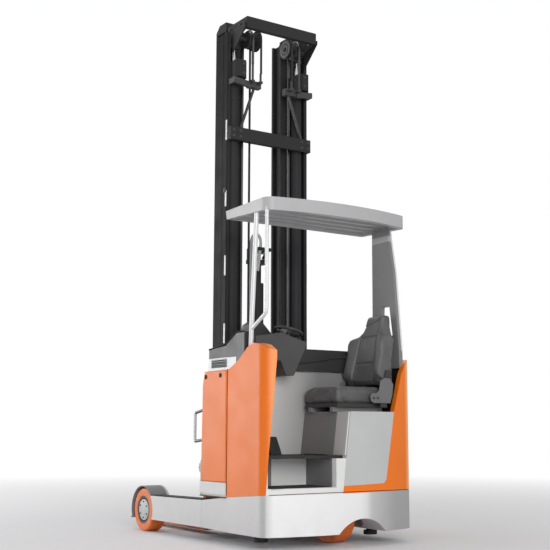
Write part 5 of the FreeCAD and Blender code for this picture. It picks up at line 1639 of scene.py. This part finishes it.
@dataclass
class Studio:
    """The pale floor, the lamps and the camera of the photograph."""

    floor_half: float = 40.0
    floor_colour: Colour = srgb(234, 234, 236)
    eye_side: float = -3.93
    eye_behind: float = 5.15505
    eye_height: float = 0.728
    heading: float = 34.6
    pitch: float = 8.45
    frame_width: float = 550.0
    focal_pixels: float = 1030.0
    axis_pixel: float = 300.0
    sensor: float = 36.0
    far_clip: float = 200.0
    white_span: Pair = (1.8, 9.0)
    light_level: float = 0.40

    def build(self) -> None:
        """Set the stage."""
        self.camera()
        self.floor()
        self.world()
        self.lamps()
        bpy.context.scene.view_settings.view_transform = "Standard"

    def camera(self) -> None:
        """Stand the camera where the photograph was taken from."""
        lens = bpy.data.cameras.new("camera")
        lens.sensor_width = self.sensor
        lens.lens = self.focal_pixels / self.frame_width * self.sensor
        lens.shift_x = (self.frame_width / 2 - self.axis_pixel) / self.frame_width
        lens.clip_end = self.far_clip
        eye = bpy.data.objects.new("camera", lens)
        bpy.context.scene.collection.objects.link(eye)
        eye.location = (self.eye_side, CAD_BOX[0][1] - self.eye_behind, self.eye_height)
        eye.rotation_euler = (math.radians(90 + self.pitch), 0.0, math.radians(-self.heading))
        bpy.context.scene.camera = eye

    def floor(self) -> None:
        """Lay the floor, which fades to white far off."""
        bpy.ops.object.select_all(action="DESELECT")
        bpy.ops.mesh.primitive_plane_add(size=2 * self.floor_half, location=(0.0, 0.0, 0.0))
        plane = Bench.settled(bpy.context.active_object, "floor")
        graph = Graph("pale_floor")
        graph.colour(graph.blend(graph.drift(0.5, 2.0), shaded(self.floor_colour, 0.985),
                                 self.floor_colour))
        graph.settle(Roughness=0.7, Specular_IOR_Level=0.2)
        white = graph.add("ShaderNodeEmission")
        white.inputs["Color"].default_value = (1.0, 1.0, 1.0, 1.0)
        length = graph.add("ShaderNodeVectorMath", operation="LENGTH")
        graph.link(graph.place, length.inputs[0])
        far = graph.remap(length.outputs["Value"], self.white_span, FULL)
        eye_ray = graph.add("ShaderNodeLightPath").outputs["Is Camera Ray"]
        mixed = graph.add("ShaderNodeMixShader")
        graph.link(graph.product(far, eye_ray), mixed.inputs[0])
        graph.link(graph.shader.outputs["BSDF"], mixed.inputs[1])
        graph.link(white.outputs["Emission"], mixed.inputs[2])
        graph.link(mixed.outputs["Shader"], graph.output.inputs["Surface"])
        plane.data.materials.append(graph.material)

    def world(self) -> None:
        """Surround the truck with soft white light, plain white to the camera."""
        world = bpy.data.worlds.new("studio")
        world.use_nodes = True
        bpy.context.scene.world = world
        nodes, links = world.node_tree.nodes, world.node_tree.links
        nodes.clear()
        output = nodes.new("ShaderNodeOutputWorld")
        background = nodes.new("ShaderNodeBackground")
        background.inputs["Color"].default_value = (1.0, 1.0, 1.0, 1.0)
        path = nodes.new("ShaderNodeLightPath")
        seen = nodes.new("ShaderNodeMath")
        seen.operation = "MAXIMUM"
        links.new(path.outputs["Is Camera Ray"], seen.inputs[0])
        links.new(path.outputs["Is Glossy Ray"], seen.inputs[1])
        level = nodes.new("ShaderNodeMapRange")
        level.inputs["To Min"].default_value = self.light_level
        level.inputs["To Max"].default_value = 1.0
        links.new(seen.outputs["Value"], level.inputs["Value"])
        links.new(level.outputs["Result"], background.inputs["Strength"])
        links.new(background.outputs["Background"], output.inputs["Surface"])

    def lamp(self, name: str, place: Point, aim: Point, size: float, watts: float) -> None:
        """Hang one square softbox.

        Args:
            name: Its name.
            place: Where it hangs.
            aim: The point that it faces.
            size: The length of its sides.
            watts: Its power.
        """
        light = bpy.data.lights.new(name, "AREA")
        light.size = size
        light.energy = watts
        lamp = bpy.data.objects.new(name, light)
        bpy.context.scene.collection.objects.link(lamp)
        lamp.location = place
        lamp.rotation_euler = (Vector(aim) - Vector(place)).to_track_quat("-Z", "Y").to_euler()

    def lamps(self) -> None:
        """Light the truck from the left, with a weaker lamp from behind the camera."""
        self.lamp("key", (-2.6, -7.4, 2.6), (0.0, 0.0, 1.0), 3.0, 250.0)
        self.lamp("front_left", (-5.4, 6.0, 2.4), (0.0, 0.0, 0.9), 5.0, 300.0)
        self.lamp("top", (0.0, 0.0, 8.0), (0.0, 0.0, 1.0), 4.0, 100.0)


def main() -> None:
    """Build the sub-assemblies in order and report each."""
    logging.basicConfig(level=logging.INFO, format="%(name)s: %(message)s")
    for part in (Studio(), Coachwork(), BodyTrim(), WheelTrim(), MastTrim(), Seat()):
        part.build()
        LOG.info("built %s", type(part).__name__)


if __name__ == "__main__":
    main()
